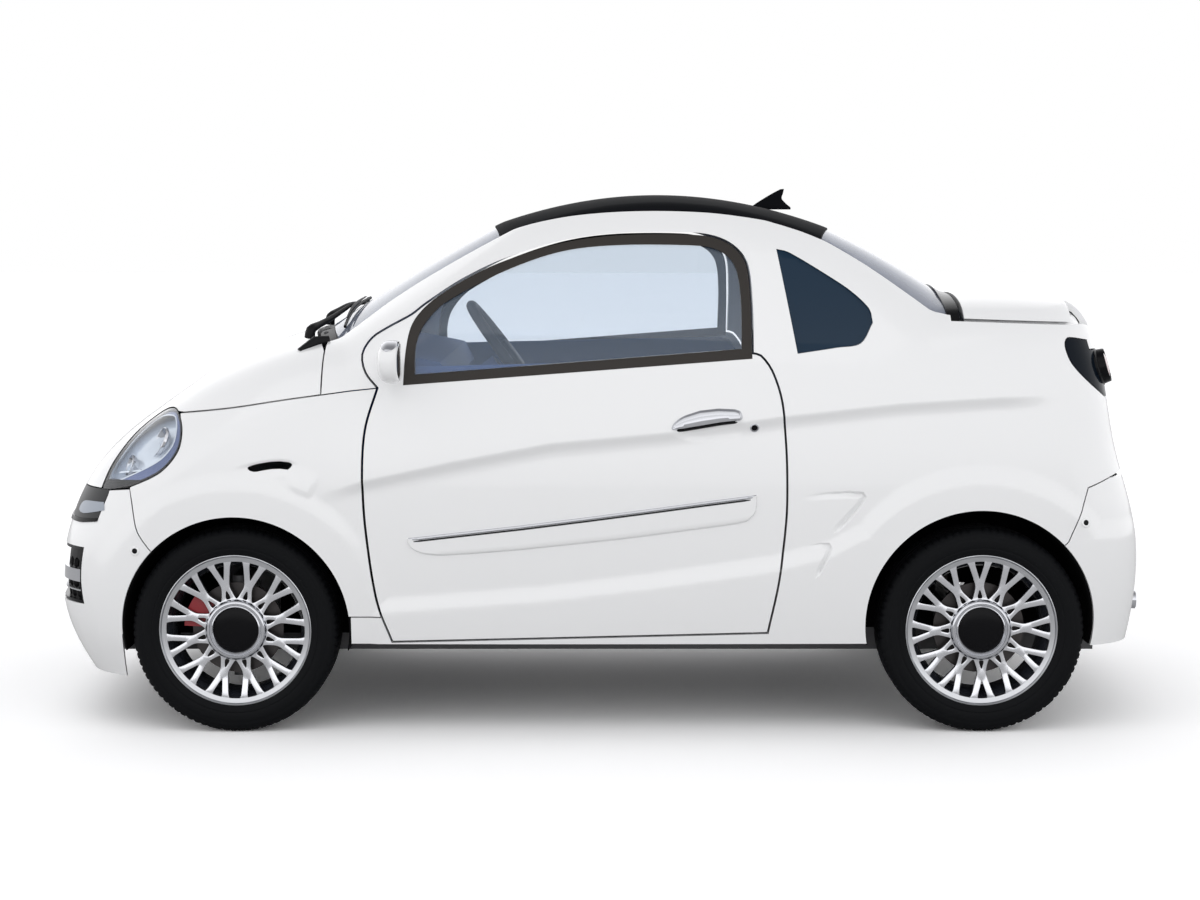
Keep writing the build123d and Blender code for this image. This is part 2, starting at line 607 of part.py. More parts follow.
def make_engine():
    body = block(*ENGINE)
    body = chamfer(body.edges().filter_by(Axis.Y), 40)
    low = FLOOR_Z
    for x in (ENGINE[0][0] + 80, ENGINE[1][0] - 80):
        for side in (-1, 1):
            y0, y1 = sorted((side * 180, side * (RAIL_Y + 20)))
            body += block((x - 20, y0, low), (x + 20, y1, ENGINE[0][2] + 60))
    return biggest(body)


def make_dashboard():
    front = BULKHEAD_X + BULKHEAD_T / 2 + FIXED_GAP
    shape = side_prism([(front, 1000), (front, 700), (-560, 700), (-440, 800), (-400, 930), (-430, 985), (-560, 1012)],
                       -POST_IN_Y, POST_IN_Y)
    return biggest((shape & form(60)) - steering_rod(32))


def steering_rod(radius):
    x, z = COLUMN_END
    a = radians(COLUMN_TILT)
    dx, dz = -cos(a), -sin(a)
    near = WHEEL_HUB_BACK + FIXED_GAP
    length = (x - (BULKHEAD_X + BULKHEAD_T / 2 + FIXED_GAP)) / cos(a)
    return rod((x + dx * near, DRIVER_Y, z + dz * near), (x + dx * length, DRIVER_Y, z + dz * length), radius)


def make_column():
    body = steering_rod(30)
    return body & block((BULKHEAD_X + BULKHEAD_T / 2 + FIXED_GAP, -FAR_Y, 0), (0, 0, TOP_Z))


def make_steering_wheel():
    x, z = COLUMN_END
    a = radians(COLUMN_TILT)
    plane = Plane(origin=(x, DRIVER_Y, z), x_dir=(0, 1, 0), z_dir=(cos(a), 0, sin(a)))
    rim = Torus(STEERING_R, 15)
    hub = Pos(0, 0, 20 - WHEEL_HUB_BACK) * Cylinder(48, 40)
    body = rim + hub
    for angle in (0, 180, 270):
        body += Rot(0, 0, angle) * Pos(STEERING_R / 2 + 10, 0, -6) * Box(STEERING_R - 10, 34, 12)
    return plane.location * biggest(body)


def make_seat():
    """Cushion, back and head restraint on a base."""
    back = [(430, 300), (560, 980), (600, 1120), (585, 1180), (540, 1185), (505, 1130), (450, 1000), (330, 480),
            (300, 470), (-60, 490), (-110, 440), (-100, 360), (-60, FLOOR_Z + FLOOR_T + FIXED_GAP),
            (380, FLOOR_Z + FLOOR_T + FIXED_GAP)]
    body = side_prism(back, -SEAT_Y - SEAT_HALF, -SEAT_Y + SEAT_HALF)
    for side in (-1, 1):
        y = -SEAT_Y + side * SEAT_HALF
        y0, y1 = sorted((y, y - side * 85))
        body -= block((300, y0, 1000), (700, y1, 1300))
    return biggest(body)


def make_front_suspension():
    """Cross beam with a lower and an upper arm to each steering pin."""
    x = WHEEL_FRONT_X
    body = block((x - 25, -RAIL_Y - 30, FLOOR_Z - RAIL_H - 22), (x + 25, RAIL_Y + 30, FLOOR_Z - RAIL_H - FIXED_GAP * 2))
    for side in (-1, 1):
        y = side * STEER_Y
        y0, y1 = sorted((side * (RAIL_Y + 26), y))
        body += block((x - 18, y0, 160 - 22), (x + 18, y1, 160))
        body += rod((x, y, 140), (x, y, 178), KINGPIN_R + 9)
        ya, yb = sorted((side * (RAIL_Y + 26), side * (RAIL_Y + 50)))
        body += block((x - 18, ya, 140), (x + 18, yb, 410))
        yc, yd = sorted((side * (RAIL_Y + 30), y))
        body += block((x - 15, yc, 392), (x + 15, yd, 410))
        body += rod((x, y, 374), (x, y, 412), KINGPIN_R + 9)
        body += rod((x, y, 150), (x, y, 400), KINGPIN_R)
    return biggest(body)


def make_knuckle():
    x, z, y = WHEEL_FRONT_X, WHEEL_R, -STEER_Y
    body = rod((x, y, 180), (x, y, 372), KINGPIN_R + 11)
    body += cross_cylinder(x, z, 30, y + 20, y - 20)
    body += cross_cylinder(x, z, HUB_R, y, -WHEEL_Y - 52)
    body -= rod((x, y, 100), (x, y, 450), KINGPIN_R + PIN_CLEAR)
    return biggest(body)


def make_caliper():
    """Brake caliper ahead of the axle, round the disc's edge."""
    x, z = WHEEL_FRONT_X, WHEEL_R
    ring = cross_cylinder(x, z, 142, -672, -628) - cross_cylinder(x, z, 88, -690, -580)
    ring -= cross_cylinder(x, z, 126, -DISC_Y[1] - 3, -DISC_Y[0] + 3)
    wedge = side_prism([(x, z), (x - 200, z + 10), (x - 160, z + 170)])
    body = ring & wedge
    bridge = block((x - 104, -640, z + 5), (x - 10, -628, z + 40))
    bridge -= rod((x, -STEER_Y, 0), (x, -STEER_Y, 500), KINGPIN_R + 11 + FIXED_GAP)
    bridge -= cross_cylinder(x, z, 30 + FIXED_GAP, -STEER_Y - 25, -STEER_Y + 25)
    return biggest(body + bridge)


def make_rear_axle():
    """Beam with trailing arms to the rails and a stub axle at each end."""
    x, z = WHEEL_REAR_X, WHEEL_R
    body = cross_cylinder(x - 20, z, 28, -560, 560)
    for side in (-1, 1):
        y = side * 385
        y0, y1 = sorted((y - 15, y + 15))
        body += side_prism([(x - 430, 190), (x - 430, 230), (x - 20, z + 24), (x + 10, z + 24), (x + 10, z - 24),
                            (x - 20, z - 24)], y0, y1)
        ya, yb = sorted((side * (RAIL_Y + RAIL_W / 2 + FIXED_GAP), side * 400))
        body += block((x - 445, ya, 180), (x - 400, yb, 228))
        yc, yd = sorted((side * 540, side * 600))
        body += block((x - 45, yc, z - 45), (x + 40, yd, z + 45))
        body += cross_cylinder(x, z, HUB_R, side * 590, side * (WHEEL_Y + 52))
    return biggest(body)


def make_exhaust():
    y, z = EXHAUST_Y, EXHAUST_Z
    body = rod((1380, y, z), (1484, y, z), EXHAUST_R)
    body -= rod((1430, y, z), (1500, y, z), EXHAUST_R - 3)
    body += block((1325, -560, 285), (1425, -260, 355))
    body += block((1360, -450, 350), (1375, -410, BOOT_FLOOR_Z - FIXED_GAP))
    return biggest(body)


def make_roof_fin():
    fin = side_prism([(440, 1330), (460, 1409), (526, 1457), (537, 1457), (528, 1430), (552, 1405), (552, 1330)], -9, 9)
    return biggest(fin - form(-FIXED_GAP))


def make_rear_panel():
    """Inner tail panel behind the boot, below the lid."""
    low = BOOT_FLOOR_Z + FLOOR_T + FIXED_GAP
    return biggest(block((1340, -FAR_Y, low), (1346, FAR_Y, LID_FOOT_Z)) & form(FRAME_T + FIXED_GAP))


# ---------------------------------------------------------------- wheels
DISC_Y = (644, 656)           # brake disc, distance from the middle
BEAD = 0.3                        # between tyre and rim
# the tyre's section: radius and half width
TYRE_PROFILE = [(RIM_R - 13 + BEAD, RIM_W / 2 - 14.6), (RIM_R + 1, RIM_W / 2 - 8.6), (RIM_R + 1 + BEAD, RIM_W / 2 - 2),
                (RIM_R + 8, 72), (230, 77.5), (256, 75), (WHEEL_R - 6, 66), (WHEEL_R, 53)]
GROOVE_DEPTH = 6


def wheel_plane(x, side):
    return Location((x, side * WHEEL_Y, WHEEL_R))


def revolved_about_y(points):
    """Points are (radius, y); the ring turns about the Y axis."""
    return revolve(Plane.XY * make_face(Polyline(*points, close=True)), Axis.Y)


def make_tyre(x, side):
    half = TYRE_PROFILE
    grooves = []
    for y in (34, 0, -34):
        grooves += [(WHEEL_R, y + 5), (WHEEL_R - GROOVE_DEPTH, y + 4), (WHEEL_R - GROOVE_DEPTH, y - 4), (WHEEL_R, y - 5)]
    points = half + grooves + [(r, -w) for r, w in half[::-1]]
    return wheel_plane(x, side) * revolved_about_y(points)


SPOKES = 12
def make_rim(x, side):
    """Barrel, hub, spokes and brake disc."""
    half = RIM_W / 2
    barrel = revolved_about_y([(RIM_R + 1, half), (RIM_R + 1, half - 8), (RIM_R - 13, half - 14), (RIM_R - 13, -half + 14),
                               (RIM_R + 1, -half + 8), (RIM_R + 1, -half), (RIM_R - 8, -half), (RIM_R - 20, -half + 14),
                               (RIM_R - 20, half - 14), (RIM_R - 8, half)])
    disc_in, disc_out = DISC_Y[0] - WHEEL_Y, DISC_Y[1] - WHEEL_Y
    bore = HUB_R + HUB_CLEAR
    hub = revolved_about_y([(bore, 62), (bore, disc_out - 1), (76, disc_out - 1), (76, 40), (62, 62)])
    cap = revolved_about_y([(0, 66), (0, 56), (58, 56), (58, 66)])
    body = barrel + hub
    spoke = side_prism([(60, -9), (118, -6), (RIM_R - 14, -17), (RIM_R - 14, 17), (118, 6), (60, 9)], 34, 54)
    for i in range(SPOKES):
        body += Rot(0, 360 / SPOKES * i, 0) * spoke
    disc = revolved_about_y([(bore, disc_in), (bore, disc_out), (122, disc_out), (122, disc_in)])
    body = body + disc + cap
    if side < 0:
        body = Rot(0, 0, 180) * body
    return wheel_plane(x, side) * biggest(body)


# ---------------------------------------------------------------- write
def parts():
    yield "chassis_frame", make_chassis()
    yield "floor_pan", make_floor()
    yield "bulkhead", make_bulkhead()
    yield "door_posts", pair(make_door_post())
    yield "side_frames", pair(make_side_frame())
    yield "roof_panel", make_roof()
    yield "roof_fin", make_roof_fin()
    yield "windscreen", make_windscreen()
    yield "rear_window", make_rear_window()
    yield "rear_cowl", make_rear_cowl()
    quarter = layer(GLASS_IN, GLASS_IN + GLASS_T) & side_prism(grow(QUARTER_GLASS, -FIXED_GAP), -FAR_Y, -LINER_IN_Y)
    yield "quarter_glass", pair(biggest(quarter))
    yield "cowl", make_cowl()
    yield "fenders", pair(make_fender())
    yield "front_bumper", make_front_bumper()
    yield "nose_band", make_nose_band()
    yield "front_grille", make_grille()
    yield "headlamps", pair(make_headlamp())
    yield "headlamp_lenses", pair(make_headlamp_lens())
    yield "rear_bumper", make_rear_bumper()
    yield "rear_panel", make_rear_panel()
    yield "tail_lamps", pair(make_tail_lamp())
    yield "arch_liners", make_arch_liners()
    yield "engine", make_engine()
    yield "dashboard", make_dashboard()
    yield "steering_column", make_column()
    yield "steering_wheel", make_steering_wheel()
    yield "seats", pair(make_seat())
    yield "front_suspension", make_front_suspension()
    yield "rear_axle", make_rear_axle()
    yield "exhaust", make_exhaust()
    yield "bonnet", make_bonnet()
    yield "boot_lid", make_boot_lid()
    left_door = {"door": make_door(), "door_glass": make_door_glass(), "door_hinges": make_door_hinges(),
                 "mirror": make_mirror(), "door_trim": make_door_trim()}
    for name, solid in left_door.items():
        yield name + "_left", solid
        yield name + "_right", right(solid)
    knuckle, caliper = make_knuckle(), make_caliper()
    yield "knuckle_left", knuckle
    yield "knuckle_right", right(knuckle)
    yield "caliper_left", caliper
    yield "caliper_right", right(caliper)
    for name, x, side in (("front_left", WHEEL_FRONT_X, -1), ("front_right", WHEEL_FRONT_X, 1),
                          ("rear_left", WHEEL_REAR_X, -1), ("rear_right", WHEEL_REAR_X, 1)):
        yield "rim_" + name, make_rim(x, side)
        yield "tyre_" + name, make_tyre(x, side)


os.makedirs("parts", exist_ok=True)
for node, shape in parts():
    export_step(shape, "parts/" + node + ".step")
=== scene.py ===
"""The microcar's looks: every visible piece, in the frame that the CAD assembly gives.

Metres, +X to the rear, +Y to the car's right, +Z up.  Tables of outlines are in millimetres.
The body is one smooth form (outside below); each panel is a layer of it, cut by its outline in side view or plan.
"""
import json
import math
from contextlib import contextmanager
import bmesh
import bpy
import numpy as np
from mathutils import Matrix, Vector


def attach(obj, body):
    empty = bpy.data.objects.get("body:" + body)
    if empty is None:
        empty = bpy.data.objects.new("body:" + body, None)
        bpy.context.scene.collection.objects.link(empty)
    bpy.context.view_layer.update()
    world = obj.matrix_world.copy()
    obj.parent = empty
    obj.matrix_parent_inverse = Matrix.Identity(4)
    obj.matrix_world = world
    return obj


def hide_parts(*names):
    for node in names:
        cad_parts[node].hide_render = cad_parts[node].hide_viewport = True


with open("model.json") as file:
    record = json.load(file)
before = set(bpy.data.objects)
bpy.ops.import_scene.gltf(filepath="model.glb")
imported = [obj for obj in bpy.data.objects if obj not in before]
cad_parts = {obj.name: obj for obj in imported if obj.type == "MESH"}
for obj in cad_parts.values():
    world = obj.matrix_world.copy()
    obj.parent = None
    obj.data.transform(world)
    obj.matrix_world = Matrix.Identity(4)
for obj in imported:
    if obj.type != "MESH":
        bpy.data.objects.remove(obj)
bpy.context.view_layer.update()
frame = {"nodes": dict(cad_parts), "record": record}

# ---------------------------------------------------------------- dimensions, mm
MM = 0.001
SHUT_GAP = 6
BONNET_GAP = 2.5
DOOR_FRONT_GAP = 6.5
LINE_GAP = 1.6           # half of the line between fixed panels
FAR = 1800
TOP = 1700               # above the whole body
SIDE_IN = 415            # side panels reach in to here

# plan sections: z, front x, rear x, half width, front corner radius
HULL = np.array([
    (110, -1420, 1440, 690, 200), (250, -1492, 1468, 718, 200), (570, -1480, 1473, 746, 220),
    (760, -1358, 1422, 737, 220), (900, -1190, 1400, 714, 210), (1170, -1040, 1338, 616, 160),
    (1470, -900, 1250, 415, 120)], float)
REAR_CORNER_R = 150
NOSE_BOW, TAIL_BOW = 80, 45
SIDE_BOW_FRONT, SIDE_BOW_REAR = 16, 26
# roof line: y, then how far each point of the profile drops or shifts there
CROWN = np.array([
    (0, 0, 0, 0, 0, 0, 0, 0, 0, 0, 0),
    (500, 34, 76, 12, 74, 18, 47, -35, 26, -50, 8),
    (620, 84, 108, 40, 86, 90, 118, -41, 98, -84, 48),
    (760, 230, 130, 170, 95, 250, 290, -50, 260, -100, 160)], float)
CROWN_DEPTH = 1.12
CROWN_STEP = 8
EDGE_R = 45              # where the roof line rounds into the sides
FLOOR_LINE = 110

ARCH_FRONT = (-971, 279, 305)
ARCH_REAR = (1012, 295, 306)
DOOR = [(-551, 251), (444, 275), (472, 415), (490, 575), (492, 682), (488, 788), (477, 894), (453, 968),
        (425, 1006), (402, 1012), (402, 1151), (391, 1253), (345, 1304), (269, 1326), (54, 1326),
        (-108, 1304), (-269, 1253), (-375, 1201), (-469, 1139), (-502, 1113), (-568, 1077),
        (-608, 1050), (-630, 1010), (-619, 965), (-585, 925), (-617, 814), (-624, 682), (-617, 548),
        (-590, 361)]
DOOR_GLASS = [(-491, 958), (377, 1025), (377, 1152), (365, 1238), (328, 1281), (268, 1297), (54, 1299),
              (-107, 1281), (-269, 1224), (-417, 1144), (-471, 1085), (-490, 1031)]
WINDOW = [(-521, 931), (404, 1000), (402, 1151), (391, 1253), (345, 1304), (269, 1326), (54, 1326),
          (-108, 1304), (-269, 1253), (-375, 1201), (-450, 1151), (-490, 1110), (-508, 1071), (-517, 1010)]
QUARTER_GLASS = [(524, 1013), (631, 1029), (693, 1040), (727, 1094), (719, 1131), (670, 1179), (589, 1233),
                 (508, 1281), (476, 1289)]
BAND_Z = (565, 649)
BUMPER_LINE = [(-1196, 498), (-1227, 547), (-1244, 627), (-1250, 655)]
BAND_LOWER = [(-1346, 565), (-1401, 557)]
LAMP_LOWER = [(-1250, 660), (-1166, 700), (-1119, 757), (-1116, 816)]
LAMP_UPPER = [(-1144, 857), (-1185, 851), (-1253, 797), (-1309, 716), (-1337, 649)]
LAMP_FOOT = (-1312, 649)
LAMP_IN = 400
BONNET_LINE = [(-1130, 850), (-978, 869), (-845, 890), (-739, 905)]
PILLAR_FOOT = [(-739, 905), (-660, 916), (-586, 924)]
DOOR_FRONT = [(-617, 814), (-624, 682), (-617, 548), (-590, 361)]
FENDER_FOOT = 315
TAIL_LAMP = [(1251, 1053), (1241, 1032), (1258, 986), (1304, 938), (1362, 892), (1500, 880), (1500, 1013),
             (1316, 1020), (1310, 1045)]
TAIL_LAMP_IN = 470
REAR_BUMPER_LINE = [(1242, 517), (1277, 598), (1295, 659), (1361, 683)]
LID_LINE = [(974, 1104), (1262, 1094)]
LID_FRONT = 974
LID_REAR_HALF = 455
LID_FOOT = 690
SILL_Z = 240
SILL_FRONT = -664
# half width in plan of the screens and the roof, over x
PLAN_EDGE = np.array([(-1400, 545), (-740, 539), (-650, 504), (-580, 473), (-500, 460), (-300, 458), (-100, 454),
                      (300, 455), (450, 460), (550, 478), (614, 494), (721, 529), (795, 556), (868, 582),
                      (930, 606), (1000, 620)], float)
BONNET_REAR = (-740, -812)
BONNET_REAR_HALF = 612
SCREEN_FOOT = (-706, -762)
HEADER_EDGE = (-272, -303)
ROOF_EDGE = (600, 655)
GLASS_FOOT = 928
DOOR_CORNERS = (0, 1, 9, 24)
DOOR_CARD_TOP = 1000
GRILLE_Z = (338, 492)
GRILLE_HALF = 655
EXHAUST_HOLE = (-450, 318, 28)           # y, z, radius
COLUMN_PLACE = (-254, -320, 986)
COLUMN_LEAN = 36.5
STEERING_R = 178
HANDLE_DISH = (284, 820, 106, 42, 10)    # x, z, half length, half height, depth

FENDER_T, BUMPER_T, PANEL_T, ROOF_T, FRAME_T = 3, 12, 20, 28, 45
DOOR_T, DOOR_FRAME_T = 60, 34
GLASS_IN, GLASS_T = 5, 5
LENS_T = 3

# relief pressed into the sides
CREASE = np.array([(-753, 645), (-687, 664), (-621, 685), (-396, 733), (-132, 783), (185, 812), (474, 852),
                   (790, 886), (1053, 902), (1224, 907)], float)
CREASE_RISE = 17
CREASE_FALL = 56         # how far below its line the crease fades out
SILL_LINE = np.array([(-640, 300), (-584, 316), (-398, 330), (-133, 351), (133, 383), (451, 429), (610, 470),
                      (700, 520)], float)
SILL_RISE = 13
SILL_SLOPE = 58
FLARE_WIDTH = 68
FLARE_SLOPE = 55
FLARE_RISE = (7, 12)
FINE_STEP = 11           # mesh size of the outer skin
MIDDLE_STEP, COARSE_STEP = 18, 28     # of the layers within 8 mm of it, and below


# ---------------------------------------------------------------- the form
def natural_spline(knots, values):
    """Smooth curve through rows of values, held constant beyond its ends."""
    knots, values = np.asarray(knots, float), np.asarray(values, float)
    gaps = np.diff(knots)
    count = len(knots)
    system, load = np.eye(count), np.zeros_like(values)
    for i in range(1, count - 1):
        system[i, i - 1:i + 2] = gaps[i - 1], 2 * (gaps[i - 1] + gaps[i]), gaps[i]
        load[i] = 6 * ((values[i + 1] - values[i]) / gaps[i] - (values[i] - values[i - 1]) / gaps[i - 1])
    bend = np.linalg.solve(system, load)

    def value(at):
        at = np.clip(at, knots[0], knots[-1])
        i = np.clip(np.searchsorted(knots, at) - 1, 0, count - 2)
        gap = gaps[i][:, None]
        a, b = (at - knots[i])[:, None] / gap, (knots[i + 1] - at)[:, None] / gap
        curve = (b ** 3 - b) * bend[i] + (a ** 3 - a) * bend[i + 1]
        return b * values[i] + a * values[i + 1] + curve * gap * gap / 6
    return value


hull_at = natural_spline(HULL[:, 0], HULL[:, 1:])


def arc(points):
    """Quadratic through three points, as z of x."""
    (x0, z0), (x1, z1), (x2, z2) = points
    return lambda x: (z0 * (x - x1) * (x - x2) / ((x0 - x1) * (x0 - x2))
                      + z1 * (x - x0) * (x - x2) / ((x1 - x0) * (x1 - x2))
                      + z2 * (x - x0) * (x - x1) / ((x2 - x0) * (x2 - x1)))


def crown_profile(row, x):
    """Height of the roof line over x, in the plane of one row of CROWN."""
    y, bonnet, cowl_x, cowl, head_x, head, roof, end_x, end, foot_x, deck = row
    nose, brow = (-FAR, 615 - bonnet), (-1150, 918 - bonnet)
    hood, base = (-985, 1000 - bonnet * 0.9), (-790 + cowl_x, 1060 - cowl)
    screen = (-586 + (cowl_x + head_x) / 2, 1190 - (cowl + head) / 2)
    header, top = (-301 + head_x, 1347 - head), (160, 1436 - roof)
    roof_end = (649 + end_x, 1336 - end)
    glass = (820 + foot_x * 0.8, 1246 - (end + deck) / 2)
    foot, deck_mid, deck_end = (968 + foot_x, 1157 - deck), (1120, 1160 - deck), (1262, 1152 - deck)
    tail = (FAR, 968 - deck)
    pieces = [(nose[0], lambda x: np.interp(x, [nose[0], brow[0]], [nose[1], brow[1]])),
              (brow[0], arc((brow, hood, base))), (base[0], arc((base, screen, header))),
              (header[0], arc((header, top, roof_end))), (roof_end[0], arc((roof_end, glass, foot))),
              (foot[0], arc((foot, deck_mid, deck_end))),
              (deck_end[0], lambda x: np.interp(x, [deck_end[0], tail[0]], [deck_end[1], tail[1]]))]
    height = np.zeros_like(x)
    for start, piece in pieces:
        height = np.where(x >= start, piece(x), height)
    return height


def crown_table():
    x = np.arange(-FAR, FAR + 1, CROWN_STEP, dtype=float)
    y = np.arange(0, 900, CROWN_STEP, dtype=float)
    both = np.concatenate([CROWN[:0:-1] * np.array([-1] + [1] * 10), CROWN])
    rows = natural_spline(both[:, 0], both[:, 1:])(y)
    table = np.array([crown_profile(np.concatenate([[v], row]), x) for v, row in zip(y, rows)]).T
    beyond = y > CROWN[-1, 0]
    table[:, beyond] -= 2.2 * (y[beyond] - CROWN[-1, 0])
    for _ in range(2):
        table[1:-1] = (table[:-2] + 2 * table[1:-1] + table[2:]) / 4
    return table


CROWN_TABLE = crown_table()


def crown_height(x, y):
    """Quadratic B-spline through the table, so that its slope is continuous."""
    u, v = (x + FAR) / CROWN_STEP, np.abs(y) / CROWN_STEP
    i, j = np.rint(u).astype(int), np.rint(v).astype(int)
    du, dv = u - i, v - j
    wu = (0.5 * (0.5 - du) ** 2, 0.75 - du ** 2, 0.5 * (0.5 + du) ** 2)
    wv = (0.5 * (0.5 - dv) ** 2, 0.75 - dv ** 2, 0.5 * (0.5 + dv) ** 2)
    rows, columns = CROWN_TABLE.shape
    total = 0
    for a in range(3):
        for b in range(3):
            total = total + wu[a] * wv[b] * CROWN_TABLE[np.clip(i + a - 1, 0, rows - 1),
                                                        np.clip(np.abs(j + b - 1), 0, columns - 1)]
    return total


def round_max(a, b, radius):
    """The greater of two depths, with a rounded corner between them."""
    u, v = np.maximum(a + radius, 0), np.maximum(b + radius, 0)
    return np.minimum(np.maximum(a, b), -radius) + np.hypot(u, v)


def smooth(t):
    t = np.clip(t, 0, 1)
    return t * t * (3 - 2 * t)


def stroke(x, z, points):
    """Distance to a line, how far along it, and the side of it on which the point is."""
    best = np.full(np.shape(x), 1e9)
    along, side = np.zeros(np.shape(x)), np.ones(np.shape(x))
    for k, ((x0, z0), (x1, z1)) in enumerate(zip(points[:-1], points[1:])):
        dx, dz = x1 - x0, z1 - z0
        t = np.clip(((x - x0) * dx + (z - z0) * dz) / (dx * dx + dz * dz), 0, 1)
        distance = np.hypot(x - x0 - t * dx, z - z0 - t * dz)
        nearer = distance < best
        best = np.where(nearer, distance, best)
        along = np.where(nearer, (k + t) / (len(points) - 1), along)
        side = np.where(nearer, np.sign(dx * (z - z0) - dz * (x - x0)), side)
    return best, along, side


# pressed vents on the quarter: line, width, depth
VENTS = [([(530, 636), (600, 645), (660, 648), (694, 645), (700, 636), (690, 615), (655, 575), (628, 548)], 15, 9),
         ([(545, 506), (585, 511), (606, 510), (611, 500), (604, 480), (588, 448), (578, 430)], 13, 8)]
# leaf and fork pressed into the fender, with how far each reaches above and below its line
LEAF = [(-972, 704), (-936, 713), (-900, 721), (-870, 726), (-845, 727), (-820, 724), (-795, 716)]
LEAF_DEPTH, LEAF_REACH = 4.5, (12, 40)
FORK = [(-838, 687), (-795, 662), (-753, 645)]
FORK_RISE, FORK_REACH = 6.0, (60, 22)


def relief(x, z):
    """How far the side stands out from the plain form."""
    line = np.interp(x, CREASE[:, 0], CREASE[:, 1])
    above = z - line
    run = smooth((x - CREASE[0, 0] + 20) / 170) * smooth((CREASE[-1, 0] + 25 - x) / 200)
    down = np.clip(-above / CREASE_FALL, 0, 1)
    below = (1 - down) ** 4 * (1 + 4 * down)
    out = CREASE_RISE * run * np.where(above > 0, np.exp(-(np.maximum(above, 0) / 210) ** 2), below)
    sill = np.interp(x, SILL_LINE[:, 0], SILL_LINE[:, 1])
    step = SILL_RISE * (1 - smooth((z - sill) / SILL_SLOPE)) * smooth((x - SILL_LINE[0, 0]) / 60)
    for (ax, az, radius), rise in zip((ARCH_FRONT, ARCH_REAR), FLARE_RISE):
        away = np.hypot(x - ax, z - az) - radius - FLARE_WIDTH
        flare = rise * (1 - smooth(away / FLARE_SLOPE)) * smooth((z - 150) / 120)
        step = np.where(np.abs(x - ax) < 480, np.maximum(step, flare), step)
    out = out + step
    for points, width, depth in VENTS:
        distance, along, side = stroke(x, z, points)
        fade = smooth(along / 0.35) * smooth((1 - along) / 0.18 + 0.35)
        reach = np.where(side > 0, width * 0.35, width)
        out = out - depth * fade * smooth(1 - distance / reach)
    distance, along, side = stroke(x, z, LEAF)
    reach = np.where(side > 0, *LEAF_REACH)
    out = out - LEAF_DEPTH * smooth(along / 0.3) * smooth((1 - along) / 0.2) * smooth(1 - distance / reach)
    dish_x, dish_z, long, high, depth = HANDLE_DISH
    out = out - depth * smooth(1 - ((x - dish_x) / long) ** 2 - ((z - dish_z) / high) ** 2)
    distance, along, side = stroke(x, z, FORK)
    reach = np.where(side > 0, *FORK_REACH)
    return out + FORK_RISE * smooth(along / 0.5) * smooth((1 - along) / 0.25) * smooth(1 - distance / reach)


def depth_of(x, y, z, inset=0.0, pressed=True):
    """Below zero inside the body whose skin is moved in by inset."""
    front, rear, half, corner = hull_at(z).T
    a = front + inset + NOSE_BOW * (y / (half - SIDE_BOW_FRONT)) ** 2 - x
    b = x - rear + inset + TAIL_BOW * (y / (half - SIDE_BOW_REAR)) ** 2
    out = relief(x, z) if pressed else 0
    side = np.abs(y) - (half - inset - 0.0107e-3 * x * x - 0.0036 * x + out)
    around = np.maximum(round_max(a, side, np.maximum(corner - inset, 20)),
                        round_max(b, side, max(REAR_CORNER_R - inset, 20)))
    top = 0.85 * (z - crown_height(x, y) + CROWN_DEPTH * inset)
    body = round_max(around, top, max(EDGE_R - inset, 12))
    return np.maximum(body, FLOOR_LINE - (20 if inset else 0) - z)


def slope_of(points, inset=0.0, pressed=True, reach=1.2):
    """Unit outward direction of the form at points, in mm."""
    grad = np.stack([depth_of(*(points + step).T, inset, pressed) - depth_of(*(points - step).T, inset, pressed)
                     for step in reach * np.eye(3)], 1)
    return grad / np.maximum(np.linalg.norm(grad, axis=1, keepdims=True), 1e-9)


def bisect(inside, high, rounds):
    """How far out each line leaves the form."""
    low = np.zeros_like(high)
    for _ in range(rounds):
        middle = (low + high) / 2
        within = inside(middle)
        low, high = np.where(within, middle, low), np.where(within, high, middle)
    return (low + high) / 2


def side_y(x, z, inset=0.0, pressed=True):
    """Half width of the form at points of the side view."""
    x, z = np.asarray(x, float), np.asarray(z, float)
    return bisect(lambda y: depth_of(x, y, z, inset, pressed) < 0, np.full(np.shape(x), 900.0), 24)


def on_side(x, z, inset=0.0, pressed=True, reach=1.2):
    """Point of the near side, and the way that the form faces there."""
    y = -float(side_y([x], [z], inset)[0])
    return (x, y, z), Vector(slope_of(np.array([[x, y, z]], float), inset, pressed, reach)[0])


# ---------------------------------------------------------------- meshes
AXIS_Z, AXIS_FRONT, AXIS_REAR = 600.0, -700.0, 850.0     # the line that the rays start from
RELIEF_Y = 560           # the relief lies outside this


def new_object(name, mesh):
    thing = bpy.data.objects.new(name, mesh)
    bpy.context.scene.collection.objects.link(thing)
    return thing


def mesh_of(name, points_mm, faces):
    mesh = bpy.data.meshes.new(name)
    mesh.from_pydata((np.asarray(points_mm, float) * MM).tolist(), [], faces)
    mesh.update()
    return mesh


@contextmanager
def editing(mesh):
    """A mesh opened for bmesh and written back."""
    bm = bmesh.new()
    bm.from_mesh(mesh)
    yield bm
    bm.to_mesh(mesh)
    bm.free()


def outward(mesh):
    with editing(mesh) as bm:
        bmesh.ops.recalc_face_normals(bm, faces=bm.faces)
    return mesh


def ring_faces(rows, count, wrap=False, flip=False):
    """Faces between rows of count points each; wrap joins the last row to the first."""
    k = np.arange(count)
    after = (k + 1) % count
    faces = []
    for r in range(rows if wrap else rows - 1):
        a, b = r * count, (r + 1) % rows * count
        corners = [a + k, b + k, b + after, a + after] if flip else [a + k, a + after, b + after, b + k]
        faces += np.stack(corners, 1).tolist()
    return faces


